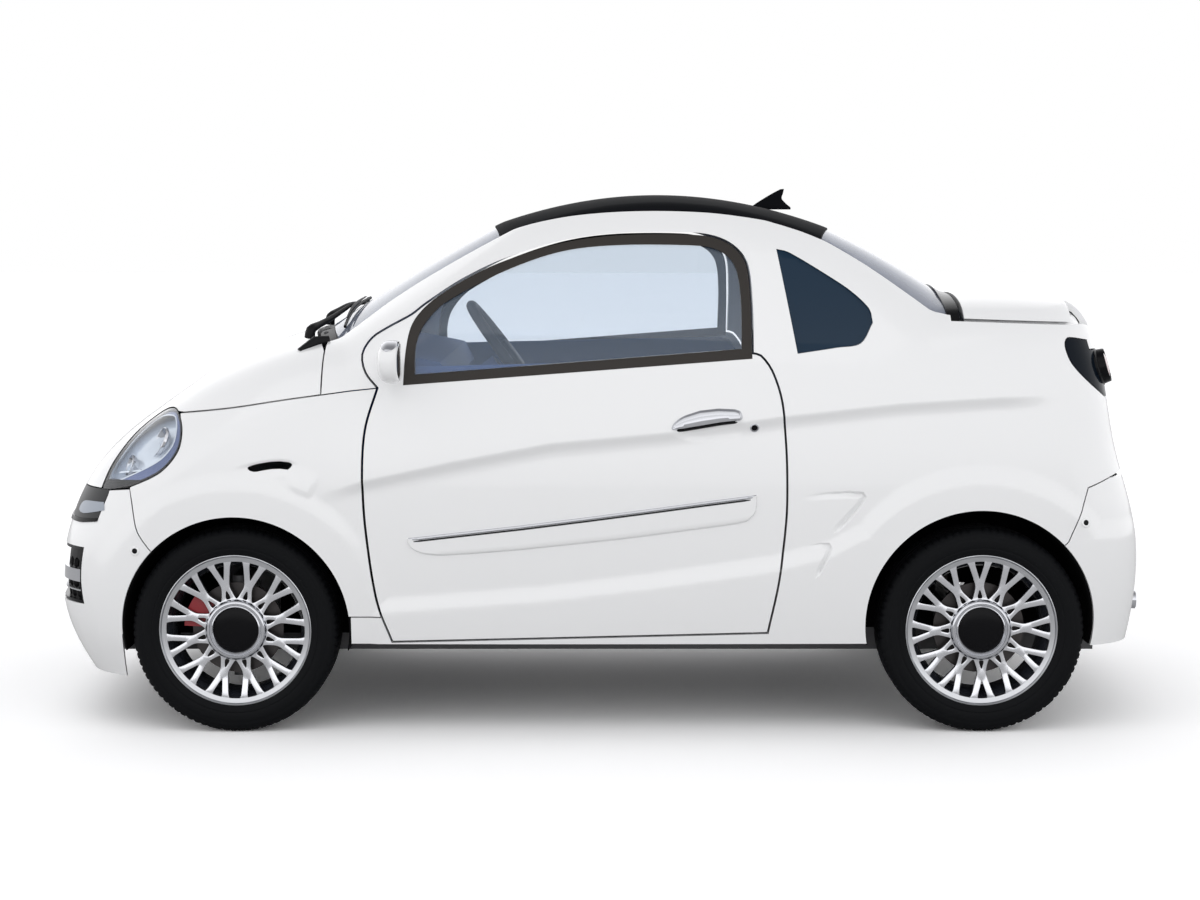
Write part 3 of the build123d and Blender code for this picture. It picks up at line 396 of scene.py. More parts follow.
def shell(name, points, count):
    """Rings of count points, closed by the last two points of the list."""
    first, last = len(points) - 2, len(points) - 1
    end = first - count
    faces = ring_faces(first // count, count, flip=True)
    for k in range(count):
        after = (k + 1) % count
        faces += [(first, k, after), (last, end + after, end + k)]
    return mesh_of(name, points, faces)


def loft(name, rings, angle=35, closed=False):
    """A solid through a run of rings, with flat ends unless it is closed to a loop."""
    count, size = len(rings), len(rings[0])
    faces = ring_faces(count, size, closed)
    if not closed:
        faces += [list(range(size)), list(range((count - 1) * size, count * size))[::-1]]
    return soft(outward(mesh_of(name, np.concatenate(rings), faces)), angle)


def soft(mesh, angle=35):
    """Smooth shading but for edges sharper than the angle."""
    mesh.polygons.foreach_set("use_smooth", np.ones(len(mesh.polygons), bool))
    mesh.set_sharp_from_angle(angle=math.radians(angle))
    mesh.update()
    return mesh


def form_mesh(name, inset, step, pressed=False):
    """The whole form as a closed mesh: rays from a line inside it."""
    around = int(4600 / step / 4) * 4
    slices = int((AXIS_REAR - AXIS_FRONT) / step)
    caps = int(1250 / step)
    angle = np.arange(around) * 2 * math.pi / around
    rings = [(AXIS_FRONT, -math.pi / 2 * (1 - k / caps)) for k in range(1, caps)]
    rings += [(AXIS_FRONT + (AXIS_REAR - AXIS_FRONT) * k / slices, 0.0) for k in range(slices + 1)]
    rings += [(AXIS_REAR, math.pi / 2 * k / caps) for k in range(1, caps)]
    origins, directions = [], []
    for x, tilt in rings:
        origins.append(np.tile((x, 0.0, AXIS_Z), (around, 1)))
        directions.append(np.stack([np.full(around, math.sin(tilt)), math.cos(tilt) * np.sin(angle),
                                    math.cos(tilt) * np.cos(angle)], 1))
    origins = np.concatenate(origins + [np.array([(AXIS_FRONT, 0, AXIS_Z), (AXIS_REAR, 0, AXIS_Z)])])
    directions = np.concatenate(directions + [np.array([(-1.0, 0, 0), (1.0, 0, 0)])])
    lengths = bisect(lambda t: depth_of(*(origins + directions * t[:, None]).T, inset, pressed) < 0,
                     np.full(len(origins), 2300.0), 26)
    return shell(name, origins + directions * lengths[:, None], around)


def near_relief(x, z, margin):
    """Where the skin needs a finer mesh."""
    line = np.interp(x, CREASE[:, 0], CREASE[:, 1])
    near = (z - line < margin) & (line - z < CREASE_FALL) & (x > CREASE[0, 0]) & (x < CREASE[-1, 0])
    for points in [v[0] for v in VENTS] + [LEAF, FORK]:
        near |= stroke(x, z, points)[0] < margin + 12
    near |= np.hypot((x - HANDLE_DISH[0]) / HANDLE_DISH[2], (z - HANDLE_DISH[1]) / HANDLE_DISH[3]) < 1.1
    return near


def refine(mesh, margins=(10, 6)):
    """Splits faces near the relief and lays the new points on the form."""
    with editing(mesh) as bm:
        for margin in margins:
            bm.faces.ensure_lookup_table()
            centres = np.array([f.calc_center_median() for f in bm.faces]) / MM
            wanted = near_relief(centres[:, 0], centres[:, 2], margin) & (np.abs(centres[:, 1]) > RELIEF_Y)
            edges = list({e for i in np.nonzero(wanted)[0] for e in bm.faces[i].edges})
            bmesh.ops.subdivide_edges(bm, edges=edges, cuts=1, use_grid_fill=True)
        bmesh.ops.triangulate(bm, faces=[f for f in bm.faces if len(f.verts) > 4])
        points = np.array([v.co for v in bm.verts]) / MM
        close = near_relief(points[:, 0], points[:, 2], 45) & (np.abs(points[:, 1]) > RELIEF_Y)
        points[close, 1] = np.sign(points[close, 1]) * side_y(points[close, 0], points[close, 2])
        for v, p in zip(bm.verts, points):
            v.co = Vector(p) * MM
    return mesh


def grow(points, distance):
    """The polygon moved out by a distance, its corners kept sharp."""
    area = sum(a[0] * b[1] - b[0] * a[1] for a, b in zip(points, points[1:] + points[:1]))
    turn = 1 if area > 0 else -1
    moved = []
    for before, here, after in zip(points[-1:] + points[:-1], points, points[1:] + points[:1]):
        ux, uz = here[0] - before[0], here[1] - before[1]
        vx, vz = after[0] - here[0], after[1] - here[1]
        lu, lv = math.hypot(ux, uz), math.hypot(vx, vz)
        mx, mz = uz / lu + vz / lv, -ux / lu - vx / lv
        scale = 2 * distance * turn / (mx * mx + mz * mz)
        moved.append((here[0] + mx * scale, here[1] + mz * scale))
    return moved


def curve_through(points, step=12, closed=True, corners=()):
    """Points along a smooth curve through the given ones; those in corners stay sharp."""
    count = len(points)
    pts = [Vector(p) for p in points]
    spans = count if closed else count - 1
    result = []
    for i in range(spans):
        a, b = pts[i], pts[(i + 1) % count]
        before = pts[(i - 1) % count] if closed or i else a
        after = pts[(i + 2) % count] if closed or i + 2 < count else b
        start = Vector(b - a) if i in corners else (b - before) / 2
        end = Vector(b - a) if (i + 1) % count in corners else (after - a) / 2
        chord = (b - a).length
        start = start * min(1, chord / max(start.length, 1e-6))
        end = end * min(1, chord / max(end.length, 1e-6))
        pieces = max(1, round(chord / step))
        for k in range(pieces):
            t = k / pieces
            p = a * (2 * t ** 3 - 3 * t ** 2 + 1) + start * (t ** 3 - 2 * t ** 2 + t) \
                + b * (3 * t ** 2 - 2 * t ** 3) + end * (t ** 3 - t ** 2)
            result.append(tuple(p))
    if not closed:
        result.append(tuple(pts[-1]))
    return result


def prism(points, low, high, upright=False):
    """Solid over a polygon: in side view from y low to high, or, upright, in plan from z low to high."""
    count = len(points)
    rings = [(x, v, h) if upright else (x, h, v) for h in (low, high) for x, v in points]
    faces = [tuple(range(count)), tuple(range(2 * count - 1, count - 1, -1))]
    faces += [(i, count + i, count + (i + 1) % count, (i + 1) % count) for i in range(count)]
    return outward(mesh_of("cutter", rings, faces))


def side_prism(points, low=-FAR, high=FAR):
    return prism(points, low, high)


def front_prism(points, low, high):
    """Solid over a polygon in front view, from x low to high."""
    mesh = prism(points, low, high)
    mesh.transform(Matrix(((0, 1, 0, 0), (1, 0, 0, 0), (0, 0, 1, 0), (0, 0, 0, 1))))
    mesh.flip_normals()
    return mesh


def box_mesh(low, high):
    return prism([(low[0], low[2]), (high[0], low[2]), (high[0], high[2]), (low[0], high[2])], low[1], high[1])


def circle(x, z, radius, count=96):
    return [(x + radius * math.cos(2 * math.pi * k / count), z + radius * math.sin(2 * math.pi * k / count))
            for k in range(count)]


def bowed(edge, half, count=24):
    """Cross line in plan from -half to half: x at the side, x in the middle."""
    ys = [-half + 2 * half * k / count for k in range(count + 1)]
    return [(edge[1] + (edge[0] - edge[1]) * (y / half) ** 2, y) for y in ys]


def plan_band(front_edge, rear_edge, grow_by=0):
    """Plan region of the screens and roof, between two bowed cross lines."""
    def half(x):
        return float(np.interp(x, PLAN_EDGE[:, 0], PLAN_EDGE[:, 1])) + grow_by
    middle = [x for x in PLAN_EDGE[:, 0] if front_edge[0] < x < rear_edge[0]]
    points = bowed(front_edge, half(front_edge[0]))[::-1] + [(x, -half(x)) for x in middle]
    points += bowed(rear_edge, half(rear_edge[0])) + [(x, half(x)) for x in middle[::-1]]
    return prism(points, 50, 1700, upright=True)


def shifted(edge, distance):
    return (edge[0] + distance, edge[1] + distance)


def carve(base, steps):
    """A copy of base after a run of boolean steps: ('&' or '-' or '+', cutter)."""
    thing = new_object("carving", base)
    cutters = [new_object("cutter", cutter) for _, cutter in steps]
    for (kind, _), cutter in zip(steps, cutters):
        step = thing.modifiers.new("step", 'BOOLEAN')
        step.operation = {"&": 'INTERSECT', "-": 'DIFFERENCE', "+": 'UNION'}[kind]
        step.solver = 'MANIFOLD'
        step.object = cutter
    return applied(thing, cutters)


def applied(thing, helpers=()):
    """The mesh that an object's modifiers make; the objects go."""
    graph = bpy.context.evaluated_depsgraph_get()
    result = bpy.data.meshes.new_from_object(thing.evaluated_get(graph))
    for used in [thing, *helpers]:
        bpy.data.objects.remove(used)
    return result


def largest(mesh):
    """Only the largest connected part of a mesh."""
    with editing(mesh) as bm:
        left, parts = set(bm.verts), []
        while left:
            start = left.pop()
            part, edge = {start}, [start]
            while edge:
                found = {v for e in edge.pop().link_edges for v in e.verts} & left
                left -= found
                part |= found
                edge += found
            parts.append(part)
        parts.sort(key=lambda part: sum(f.calc_area() for v in part for f in v.link_faces))
        bmesh.ops.delete(bm, geom=[v for part in parts[:-1] for v in part], context='VERTS')
    return mesh


def mirrored(mesh):
    result = mesh.copy()
    result.transform(Matrix.Diagonal((1, -1, 1, 1)))
    result.flip_normals()
    return result


def values_of(items, name, width=1, kind=float):
    """One property of all points, faces or corners of a mesh."""
    values = np.zeros(len(items) * width, kind)
    items.foreach_get(name, values)
    return values.reshape(-1, width) if width > 1 else values


def shade_by_form(mesh, outer, inner):
    """Shades skin and inner face by the form's own slope; cut edges stay flat."""
    points = values_of(mesh.vertices, "co", 3) / MM
    vertex_of = values_of(mesh.loops, "vertex_index", kind=int)
    starts, totals = (values_of(mesh.polygons, name, kind=int) for name in ("loop_start", "loop_total"))
    normals, centres = (values_of(mesh.polygons, name, 3) for name in ("normal", "center"))
    face_of = np.repeat(np.arange(len(starts)), totals)
    result = normals[face_of].copy()
    at = points[vertex_of] + 0.15 * (centres[face_of] / MM - points[vertex_of])
    for inset, turn, reach in ((outer, 1, 1.0), (inner, -1, 3.0)):
        pressed = inset == 0
        near = np.abs(depth_of(*points.T, inset, pressed)) < reach
        touching = np.minimum.reduceat(near[vertex_of].astype(int), starts) > 0
        slope = slope_of(at, inset, pressed) * turn
        use = touching[face_of] & ((slope * result).sum(1) > 0.6)
        result[use] = slope[use]
    mesh.polygons.foreach_set("use_smooth", np.ones(len(starts), bool))
    mesh.normals_split_custom_set(result.tolist())
    mesh.update()
    return mesh


# ---------------------------------------------------------------- materials
GLANCE_MIRROR, FRONT_MIRROR = 0.8, 0.04      # share of light that glass mirrors at a flat angle and head on
GLANCE_POWER = 5
COAT_ROUGH = 0.03


def blank(name):
    result = bpy.data.materials.new(name)
    result.use_nodes = True
    return result, result.node_tree


def node(tree, kind, inputs=(), **settings):
    """A shader node, with numbers on its own sockets."""
    made = tree.nodes.new("ShaderNode" + kind)
    for socket, value in dict(inputs).items():
        made.inputs[socket].default_value = value
    for name, value in settings.items():
        setattr(made, name, value)
    return made


def wire(tree, *links):
    for source, output, target, entry in links:
        tree.links.new(source.outputs[output], target.inputs[entry])


def material(name, color, rough=0.4, metal=0.0, coat=0.0, grain=0.0, grain_size=400.0, vary=0.03, gloss=0.5):
    """A plain finish with a faint grain in its colour and surface."""
    result, tree = blank(name)
    shader = tree.nodes["Principled BSDF"]
    for socket, value in (("Roughness", rough), ("Metallic", metal), ("Coat Weight", coat),
                          ("Coat Roughness", COAT_ROUGH), ("Specular IOR Level", gloss)):
        shader.inputs[socket].default_value = value
    place, noise, ramp = node(tree, "TexCoord"), node(tree, "TexNoise", {"Scale": grain_size}), node(tree, "ValToRGB")
    for stop, scale in zip(ramp.color_ramp.elements, (1 - vary, 1 + vary)):
        stop.color = (*[min(1.0, c * scale) for c in color], 1)
    wire(tree, (place, "Object", noise, "Vector"), (noise, "Fac", ramp, "Fac"), (ramp, "Color", shader, "Base Color"))
    if grain:
        bump = node(tree, "Bump", {"Strength": grain, "Distance": 0.001})
        wire(tree, (noise, "Fac", bump, "Height"), (bump, "Normal", shader, "Normal"))
    return result


def glass(name, slot, tint, mirror=1.0, haze=0.0, haze_color=(0.5, 0.5, 0.5)):
    """Thin tinted glass: light goes straight through, less what it scatters and what its surface mirrors."""
    result, tree = blank(name)
    tree.nodes.remove(tree.nodes["Principled BSDF"])
    clear = node(tree, "BsdfTransparent", {"Color": (*tint, 1)})
    scatter = node(tree, "BsdfDiffuse", {"Color": (*haze_color, 1)})
    body, mix = node(tree, "MixShader", {"Fac": haze}), node(tree, "MixShader")
    shine = node(tree, "BsdfGlossy", {"Roughness": 0.0, "Color": (mirror, mirror, mirror, 1)})
    facing = node(tree, "LayerWeight")
    steep = node(tree, "Math", {1: GLANCE_POWER}, operation='POWER')
    share = node(tree, "Math", {1: GLANCE_MIRROR, 2: FRONT_MIRROR}, operation='MULTIPLY_ADD')
    wire(tree, (facing, "Facing", steep, 0), (steep, 0, share, 0), (share, 0, mix, "Fac"), (clear, "BSDF", body, 1),
         (scatter, "BSDF", body, 2), (body, "Shader", mix, 1), (shine, "BSDF", mix, 2),
         (mix, "Shader", tree.nodes["Material Output"], "Surface"))
    return result


WHITE = material("paint_white", (0.86, 0.865, 0.87), rough=0.32, coat=0.8, vary=0.004)
ROOF_BLACK = material("paint_roof", (0.005, 0.0055, 0.007), rough=0.6, gloss=0.025)
BLACK = material("plastic_black", (0.006, 0.006, 0.007), rough=0.45, grain=0.05, gloss=0.15)
GLOSS = material("gloss_black", (0.003, 0.003, 0.004), rough=0.18, gloss=0.12)
RUBBER = material("seal_rubber", (0.026, 0.022, 0.019), rough=0.5, grain=0.06, gloss=0.3)
CHARCOAL = material("plastic_charcoal", (0.024, 0.025, 0.027), rough=0.35, grain=0.04, gloss=0.25)
LINER = material("liner_black", (0.003, 0.003, 0.0035), rough=0.9, grain=0.2, grain_size=120, gloss=0.1)
DOOR_BLUE = glass("glass_door", "clear_glass", (0.915, 0.94, 0.965), haze=0.04, haze_color=(0.35, 0.6, 0.95))
SCREEN = glass("glass_screen", "clear_glass", (0.66, 0.72, 0.82), haze=0.55, haze_color=(0.30, 0.325, 0.39))
PRIVACY = glass("glass_quarter", "privacy_glass", (0.10, 0.18, 0.28), mirror=0.35, haze=0.8,
                haze_color=(0.012, 0.034, 0.065))
LENS = glass("lens_clear", "lens_clear", (0.96, 0.97, 0.98))
STEEL = material("steel_painted", (0.10, 0.10, 0.105), rough=0.5, metal=0.3)
CAST = material("engine_cast", (0.20, 0.20, 0.21), rough=0.55, metal=0.5, grain=0.2, grain_size=200)
INSIDE = material("interior_blue", (0.03, 0.085, 0.26), rough=0.65, grain=0.12)
CLOTH = material("seat_cloth", (0.035, 0.045, 0.07), rough=0.9, grain=0.4, grain_size=900, vary=0.15)
CHROME = material("chrome", (0.60, 0.61, 0.64), rough=0.10, metal=1.0)
SATIN = material("satin_metal", (0.55, 0.56, 0.58), rough=0.28, metal=1.0)
RED = material("caliper_red", (0.33, 0.012, 0.02), rough=0.35, coat=0.3)
DISC = material("disc_iron", (0.07, 0.065, 0.065), rough=0.4, metal=1.0)
RIM_FACE = material("rim_machined", (0.72, 0.73, 0.76), rough=0.22, metal=1.0, vary=0.02)
RIM_DARK = material("rim_pocket", (0.018, 0.020, 0.026), rough=0.22, coat=0.5)
TYRE_RUBBER = material("tyre", (0.004, 0.0045, 0.0055), rough=0.6, grain=0.10, grain_size=350,
                       gloss=0.1)
LAMP_BLUE = material("lamp_blue", (0.16, 0.20, 0.36), rough=0.2, metal=0.6, vary=0.04)
LAMP_SILVER = material("lamp_silver_finish", (0.85, 0.90, 0.97), rough=0.22, metal=0.5, vary=0.02)
DAY_GREY = material("day_lamp_finish", (0.30, 0.33, 0.38), rough=0.3, metal=0.3)
BULB = material("bulb_glass", (0.75, 0.80, 0.88), rough=0.08, coat=0.6)
TAIL_BLACK = material("tail_lens", (0.003, 0.006, 0.011), rough=0.10, gloss=0.08)
TAIL_RED = material("tail_red", (0.22, 0.008, 0.012), rough=0.12, coat=0.8)


# ---------------------------------------------------------------- pieces and panels
BODY = ("body", "body")
DOORS = ("door_left", "door_right")


def piece(name, mesh, finish, body="body", stands_for=()):
    """A finished visible piece on its body."""
    thing = new_object(name, mesh)
    mesh.name = name
    mesh.materials.clear()
    mesh.materials.append(finish)
    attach(thing, body)
    if stands_for:
        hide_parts(*stands_for)
    return thing


def pair(name, mesh, finish, bodies=BODY, stands_for=(), depths=None):
    """The left piece and its mirror image; the first node named is the left one's, the second the right one's."""
    other = mirrored(mesh)
    other = shade_by_form(other, *depths) if depths else outward(other)
    piece(name + "_l", mesh, finish, bodies[0], stands_for[:1])
    piece(name + "_r", other, finish, bodies[1], stands_for[1:])


SKIN = refine(form_mesh("skin", 0, FINE_STEP, True))
_layers = {}


def surface(inset):
    """A fresh copy of the form at a depth below the skin; 0 is the pressed skin itself."""
    if inset == 0:
        return SKIN.copy()
    if inset not in _layers:
        _layers[inset] = form_mesh("layer", inset, COARSE_STEP if inset > 8 else MIDDLE_STEP)
    return _layers[inset].copy()


def layer(outer, inner, steps):
    mesh = largest(carve(surface(outer), steps + [("-", surface(inner))]))
    return shade_by_form(mesh, outer, inner)


def near_side(points, inner=SIDE_IN):
    return side_prism(points, -FAR, -inner)


def side_panel(name, depths, outline, finish, cuts=(), bodies=BODY, stands_for=(), inner=SIDE_IN):
    """A layer of the side inside an outline, less what cuts takes away, on both sides."""
    steps = [("&", near_side(outline, inner))] + [("-", cut) for cut in cuts]
    pair(name, layer(*depths, steps), finish, bodies, stands_for, depths)


def cross_panel(name, depths, regions, finish, body="body", stands_for=()):
    """A layer of the form that runs across the car, inside all the regions."""
    piece(name, layer(*depths, [("&", region) for region in regions]), finish, body, stands_for)


def arch_hole(arch):
    return side_prism(circle(*arch, 160))


def above(z, front, rear, half=FAR):
    """Box above a height, from front to rear."""
    return box_mesh((front, -half, z), (rear, half, TOP))


def lowered(line, drop):
    return [(x, z - drop) for x, z in line]


def front_box(margin, low, high, rear=-1300):
    """Box over the grille's width less a margin at each end."""
    return box_mesh((-FAR, -GRILLE_HALF + margin, low), (rear, GRILLE_HALF - margin, high))


DOOR_LINE = curve_through(DOOR, 14, corners=DOOR_CORNERS)
LAMP_ROUND = curve_through(LAMP_LOWER + LAMP_UPPER, 10, closed=False)
LAMP_SPLIT = min(range(len(LAMP_ROUND)), key=lambda k: math.dist(LAMP_ROUND[k], BONNET_LINE[0]))
BONNET_SIDE = curve_through(BONNET_LINE, 20, closed=False)
BUMPER_SIDE = curve_through(BUMPER_LINE, 10, closed=False)
TAIL_ROUND_LINE = curve_through(TAIL_LAMP, 8, corners=(4, 5, 6, 7, 8))
WINDOW_CORNERS, QUARTER_CORNERS = (0, 1), (0, 3, 8)
TRIM_FIT = 0.4           # play between a pane or seal and its opening
PANE = (GLASS_IN, GLASS_IN + GLASS_T)
GUTTER, GUTTER_HALF = (24, 28), 16


# ---------------------------------------------------------------- body panels
FENDER_REAR = [(-575, FENDER_FOOT), (-700, FENDER_FOOT)]
FRAME_FRONT = [(SILL_FRONT, SILL_Z), (SILL_FRONT, FENDER_FOOT), (-560, FENDER_FOOT), (-560, 924)]
FRAME_REAR = [(1310, 1088), (1420, 1050), (1420, 700)]
FRAME_TOP = [(-739, TOP), (940, TOP), (940, 1105 - SHUT_GAP)]
BAND_TOP = [(-1316, 634), (-1312, 649)]
BUMPER_FOOT = [(-FAR, 140), (-1276, 140), (-1276, 263)]
REAR_BUMPER_FOOT = [(FAR, 683), (FAR, 232), (1303, 232), (1303, 283), (1010, 283)]
TAIL_X = 1240            # the boot lid's and the side frames' rear faces lie behind this
LID_GUTTER = [(978, 1060), (1345, 1045), (1345, 1112), (978, 1125)]


def add_fender():
    outline = BUMPER_SIDE + LAMP_ROUND[:LAMP_SPLIT] + BONNET_SIDE + PILLAR_FOOT[1:] + DOOR_FRONT
    outline += FENDER_REAR + [ARCH_FRONT[:2]]
    side_panel("fender", (0, FENDER_T), grow(outline, -LINE_GAP), WHITE,
               [side_prism(grow(DOOR_LINE, DOOR_FRONT_GAP)), arch_hole(ARCH_FRONT)], stands_for=("fenders",))


def add_side_frame():
    outline = FRAME_FRONT + PILLAR_FOOT[::-1] + FRAME_TOP + lowered(LID_LINE, SHUT_GAP) + FRAME_REAR
    outline += REAR_BUMPER_LINE[::-1] + [ARCH_REAR[:2], (1010, SILL_Z)]
    cuts = [plan_band(shifted(BONNET_REAR, -300), (976, 976), LINE_GAP), side_prism(grow(DOOR_LINE, SHUT_GAP)),
            side_prism(curve_through(QUARTER_GLASS, corners=QUARTER_CORNERS)), arch_hole(ARCH_REAR),
            side_prism(grow(TAIL_ROUND_LINE, LINE_GAP)),
            above(LID_FOOT - SHUT_GAP, TAIL_X, FAR, LID_REAR_HALF + SHUT_GAP)]
    side_panel("side_frame", (0, FRAME_T), grow(outline, -LINE_GAP), WHITE, cuts, stands_for=("side_frames",))


def add_door():
    side_panel("door_skin", (0, FRAME_T), DOOR_LINE, WHITE,
               [side_prism(curve_through(WINDOW, corners=WINDOW_CORNERS))], DOORS, DOORS)
    side_panel("window_seal", (2, DOOR_FRAME_T), curve_through(grow(WINDOW, -TRIM_FIT), corners=WINDOW_CORNERS),
               RUBBER, [side_prism(curve_through(DOOR_GLASS, corners=WINDOW_CORNERS))], DOORS)
    side_panel("door_pane", PANE, curve_through(grow(DOOR_GLASS, -TRIM_FIT), corners=WINDOW_CORNERS), DOOR_BLUE,
               bodies=DOORS, stands_for=("door_glass_left", "door_glass_right"))
    card = [p for p in grow(DOOR, -20) if p[1] < DOOR_CARD_TOP]
    side_panel("door_card", (FRAME_T + 1, DOOR_T), card, INSIDE, bodies=DOORS)


def add_quarter_glass():
    side_panel("quarter_pane", PANE, curve_through(grow(QUARTER_GLASS, -TRIM_FIT), corners=QUARTER_CORNERS), PRIVACY,
               stands_for=("quarter_glass",))


def add_bonnet():
    side = [(-FAR, BAND_Z[1])] + LAMP_ROUND[:LAMP_SPLIT:-1] + BONNET_SIDE[1:] + [(-739, TOP), (-FAR, TOP)]
    cowl = plan_band(BONNET_REAR, (300, 300), BONNET_REAR_HALF - PLAN_EDGE[1][1])
    mesh = layer(0, PANEL_T, [("&", side_prism(grow(side, -BONNET_GAP))), ("-", cowl)])
    piece("bonnet_panel", mesh, WHITE, "bonnet", ("bonnet",))


def add_screens():
    bands = [("cowl_panel", (10, ROOF_T), shifted(BONNET_REAR, SHUT_GAP), shifted(SCREEN_FOOT, -1), -1,
              (800, -900, -600), BLACK, "cowl"),
             ("windscreen_pane", PANE, SCREEN_FOOT, shifted(HEADER_EDGE, -1), -1, (900, -900, 0), SCREEN,
              "windscreen"),
             ("roof_skin", (0, ROOF_T), HEADER_EDGE, ROOF_EDGE, -LINE_GAP, (1100, -900, 900), ROOF_BLACK,
              "roof_panel"),
             ("rear_pane", PANE, shifted(ROOF_EDGE, 1), (GLASS_FOOT, GLASS_FOOT), -1, (1000, 500, 1000), SCREEN,
              "rear_window"),
             ("rear_cowl_strip", (0, ROOF_T), (GLASS_FOOT + 1, GLASS_FOOT + 1), (962, 962), -1, (1000, 800, 1000),
              GLOSS, "rear_cowl")]
    for name, depths, front_edge, rear_edge, play, box, finish, stands_for in bands:
        cross_panel(name, depths, [plan_band(front_edge, rear_edge, play), above(*box)], finish,
                    stands_for=(stands_for,))


def add_boot_lid():
    top = side_prism(LID_LINE + [(1268, 1094), (1268, TOP), (LID_FRONT, TOP)])
    region = carve(top, [("+", above(LID_FOOT, TAIL_X, FAR, LID_REAR_HALF))])
    cross_panel("boot_lid_panel", (0, PANEL_T), [region], WHITE, "boot_lid", ("boot_lid",))


def add_front_bumper():
    outline = BUMPER_FOOT + [ARCH_FRONT[:2]] + BUMPER_SIDE[:-3]
    outline += [(-1249, 655), (-1312, 648), BAND_TOP[0]] + BAND_LOWER + [(-FAR, BAND_Z[0])]
    mesh = layer(0, BUMPER_T, [("&", side_prism(grow(outline, -LINE_GAP))), ("-", arch_hole(ARCH_FRONT)),
                               ("-", front_box(0, *GRILLE_Z))])
    piece("front_bumper_skin", mesh, WHITE, stands_for=("front_bumper",))
    band = grow([(-FAR, BAND_Z[0])] + BAND_LOWER[::-1] + BAND_TOP + [(-FAR, BAND_Z[1])], -0.5)
    cross_panel("nose_band_skin", (0, BUMPER_T), [side_prism(band)], CHARCOAL, stands_for=("nose_band",))


def add_rear_bumper():
    outline = grow(REAR_BUMPER_LINE + REAR_BUMPER_FOOT, -LINE_GAP)
    mesh = layer(0, BUMPER_T, [("&", side_prism(outline)), ("-", arch_hole(ARCH_REAR)),
                               ("-", front_prism(circle(*EXHAUST_HOLE, 32), 1300, FAR))])
    piece("rear_bumper_skin", mesh, WHITE, stands_for=("rear_bumper",))


def add_gutters():
    """White channels under the gaps round the bonnet and the boot lid."""
    side_panel("bonnet_gutter", GUTTER,
               lowered(BONNET_SIDE, -GUTTER_HALF) + lowered(BONNET_SIDE, GUTTER_HALF)[::-1], WHITE)
    side_panel("lid_gutter", GUTTER, LID_GUTTER, WHITE)


for add in (add_fender, add_side_frame, add_door, add_quarter_glass, add_bonnet, add_screens, add_boot_lid,
            add_front_bumper, add_rear_bumper, add_gutters):
    add()


# ---------------------------------------------------------------- wheels
WHEELS = {"front_left": (-974, -1), "front_right": (-974, 1), "rear_left": (1019, -1), "rear_right": (1019, 1)}
WHEEL_Y, WHEEL_R = 642, 275
LIP_R = 203              # outer edge of the alloy lip
PLATE_R = 193            # spoke plate
PLATE_BACK, PLATE_FACE = 44, 60     # from the wheel's middle plane outwards
PLATE_DISH = 9
SPOKES = 12
RIM_TURN = {"front_left": 13.4, "front_right": 13.4, "rear_left": 2.0, "rear_right": 2.0}
TREAD_NOTCHES, NOTCH_SHARE, NOTCH_DEPTH = 84, 0.24, 3.5
NOTCH_FROM = (262, 40)   # radius and distance from the middle plane where the notches begin
FACE_SLOPE = 0.55        # spoke faces that look outwards more than this are bright
# turned profiles: radius, distance outwards from the wheel's middle plane
TYRE = [(196, 58), (199, 66), (204, 70.5), (209, 72.5), (216, 75.5), (219, 76.2), (221, 76.2), (222, 75.6),
        (224, 76.6), (232, 77.3), (240, 77.2), (246, 76.4), (247, 75.8), (249, 75.9), (255, 74.4), (258, 73.8),
        (260, 72.4), (265, 70.0), (270, 65.5), (273, 60.0), (274.4, 54), (275, 44), (275, 37), (269, 36),
        (269, 30), (275, 29), (275, 5), (269, 4), (269, 0)]
TURNED_PARTS = [
    ("rim_lip_", SATIN, [(LIP_R - 18, 30), (PLATE_R - 9, 50), (PLATE_R - 8, 61.5), (PLATE_R - 1, 63),
                         (PLATE_R + 4, 64.5), (PLATE_R + 5.5, 68), (LIP_R - 2, 70.5), (LIP_R, 69.5), (LIP_R, 60)]),
    ("rim_barrel_", RIM_DARK, [(LIP_R - 4, -66), (182, -62), (168, -45), (168, 10), (176, 36), (PLATE_R - 6, 46),
                               (LIP_R - 4, 66)]),
    ("hub_ring_", CHROME, [(82, 36), (82, 54), (80, 57), (77, 61.5), (74, 63.5), (71, 63.5), (69.5, 60.5), (67, 60.5),
                           (65, 63.5), (62.5, 64.5), (60.5, 62), (60, 54)]),
    ("hub_cap_", GLOSS, [(60.5, 56.5), (54, 58), (40, 60), (20, 61.2), (0.001, 61.5)]),
    ("brake_disc_", DISC, [(40, 3), (122, 3), (122, 13), (60, 13), (58, 22), (34, 24), (20, 24)])]


def lathe(name, profile, x=0, y=0, z=0, side=-1, segments=120, bend=None):
    """Turns a (radius, outward) profile about the Y axis through x, z; y is its plane."""
    angle = np.arange(segments) * 2 * math.pi / segments
    points = []
    for radius, out in profile:
        ring = np.full(segments, float(radius))
        if bend is not None:
            ring = ring - bend(radius, out, angle)
        points.append(np.stack([x + ring * np.cos(angle), np.full(segments, y + side * out),
                                z + ring * np.sin(angle)], 1))
    mesh = mesh_of(name, np.concatenate(points), ring_faces(len(profile), segments, flip=side < 0))
    if min(profile[0][0], profile[-1][0]) < 0.01:
        with editing(mesh) as bm:
            bmesh.ops.remove_doubles(bm, verts=bm.verts, dist=0.00001)
    return soft(mesh)


def rounded(points, rounds=2):
    """Cuts a polygon's corners until they look rounded."""
    for _ in range(rounds):
        points = [(a[0] * t + b[0] * (1 - t), a[1] * t + b[1] * (1 - t))
                  for a, b in zip(points, points[1:] + points[:1]) for t in (0.8, 0.2)]
    return points


def polar(radius, degrees):
    a = math.radians(degrees)
    return (radius * math.sin(a), radius * math.cos(a))


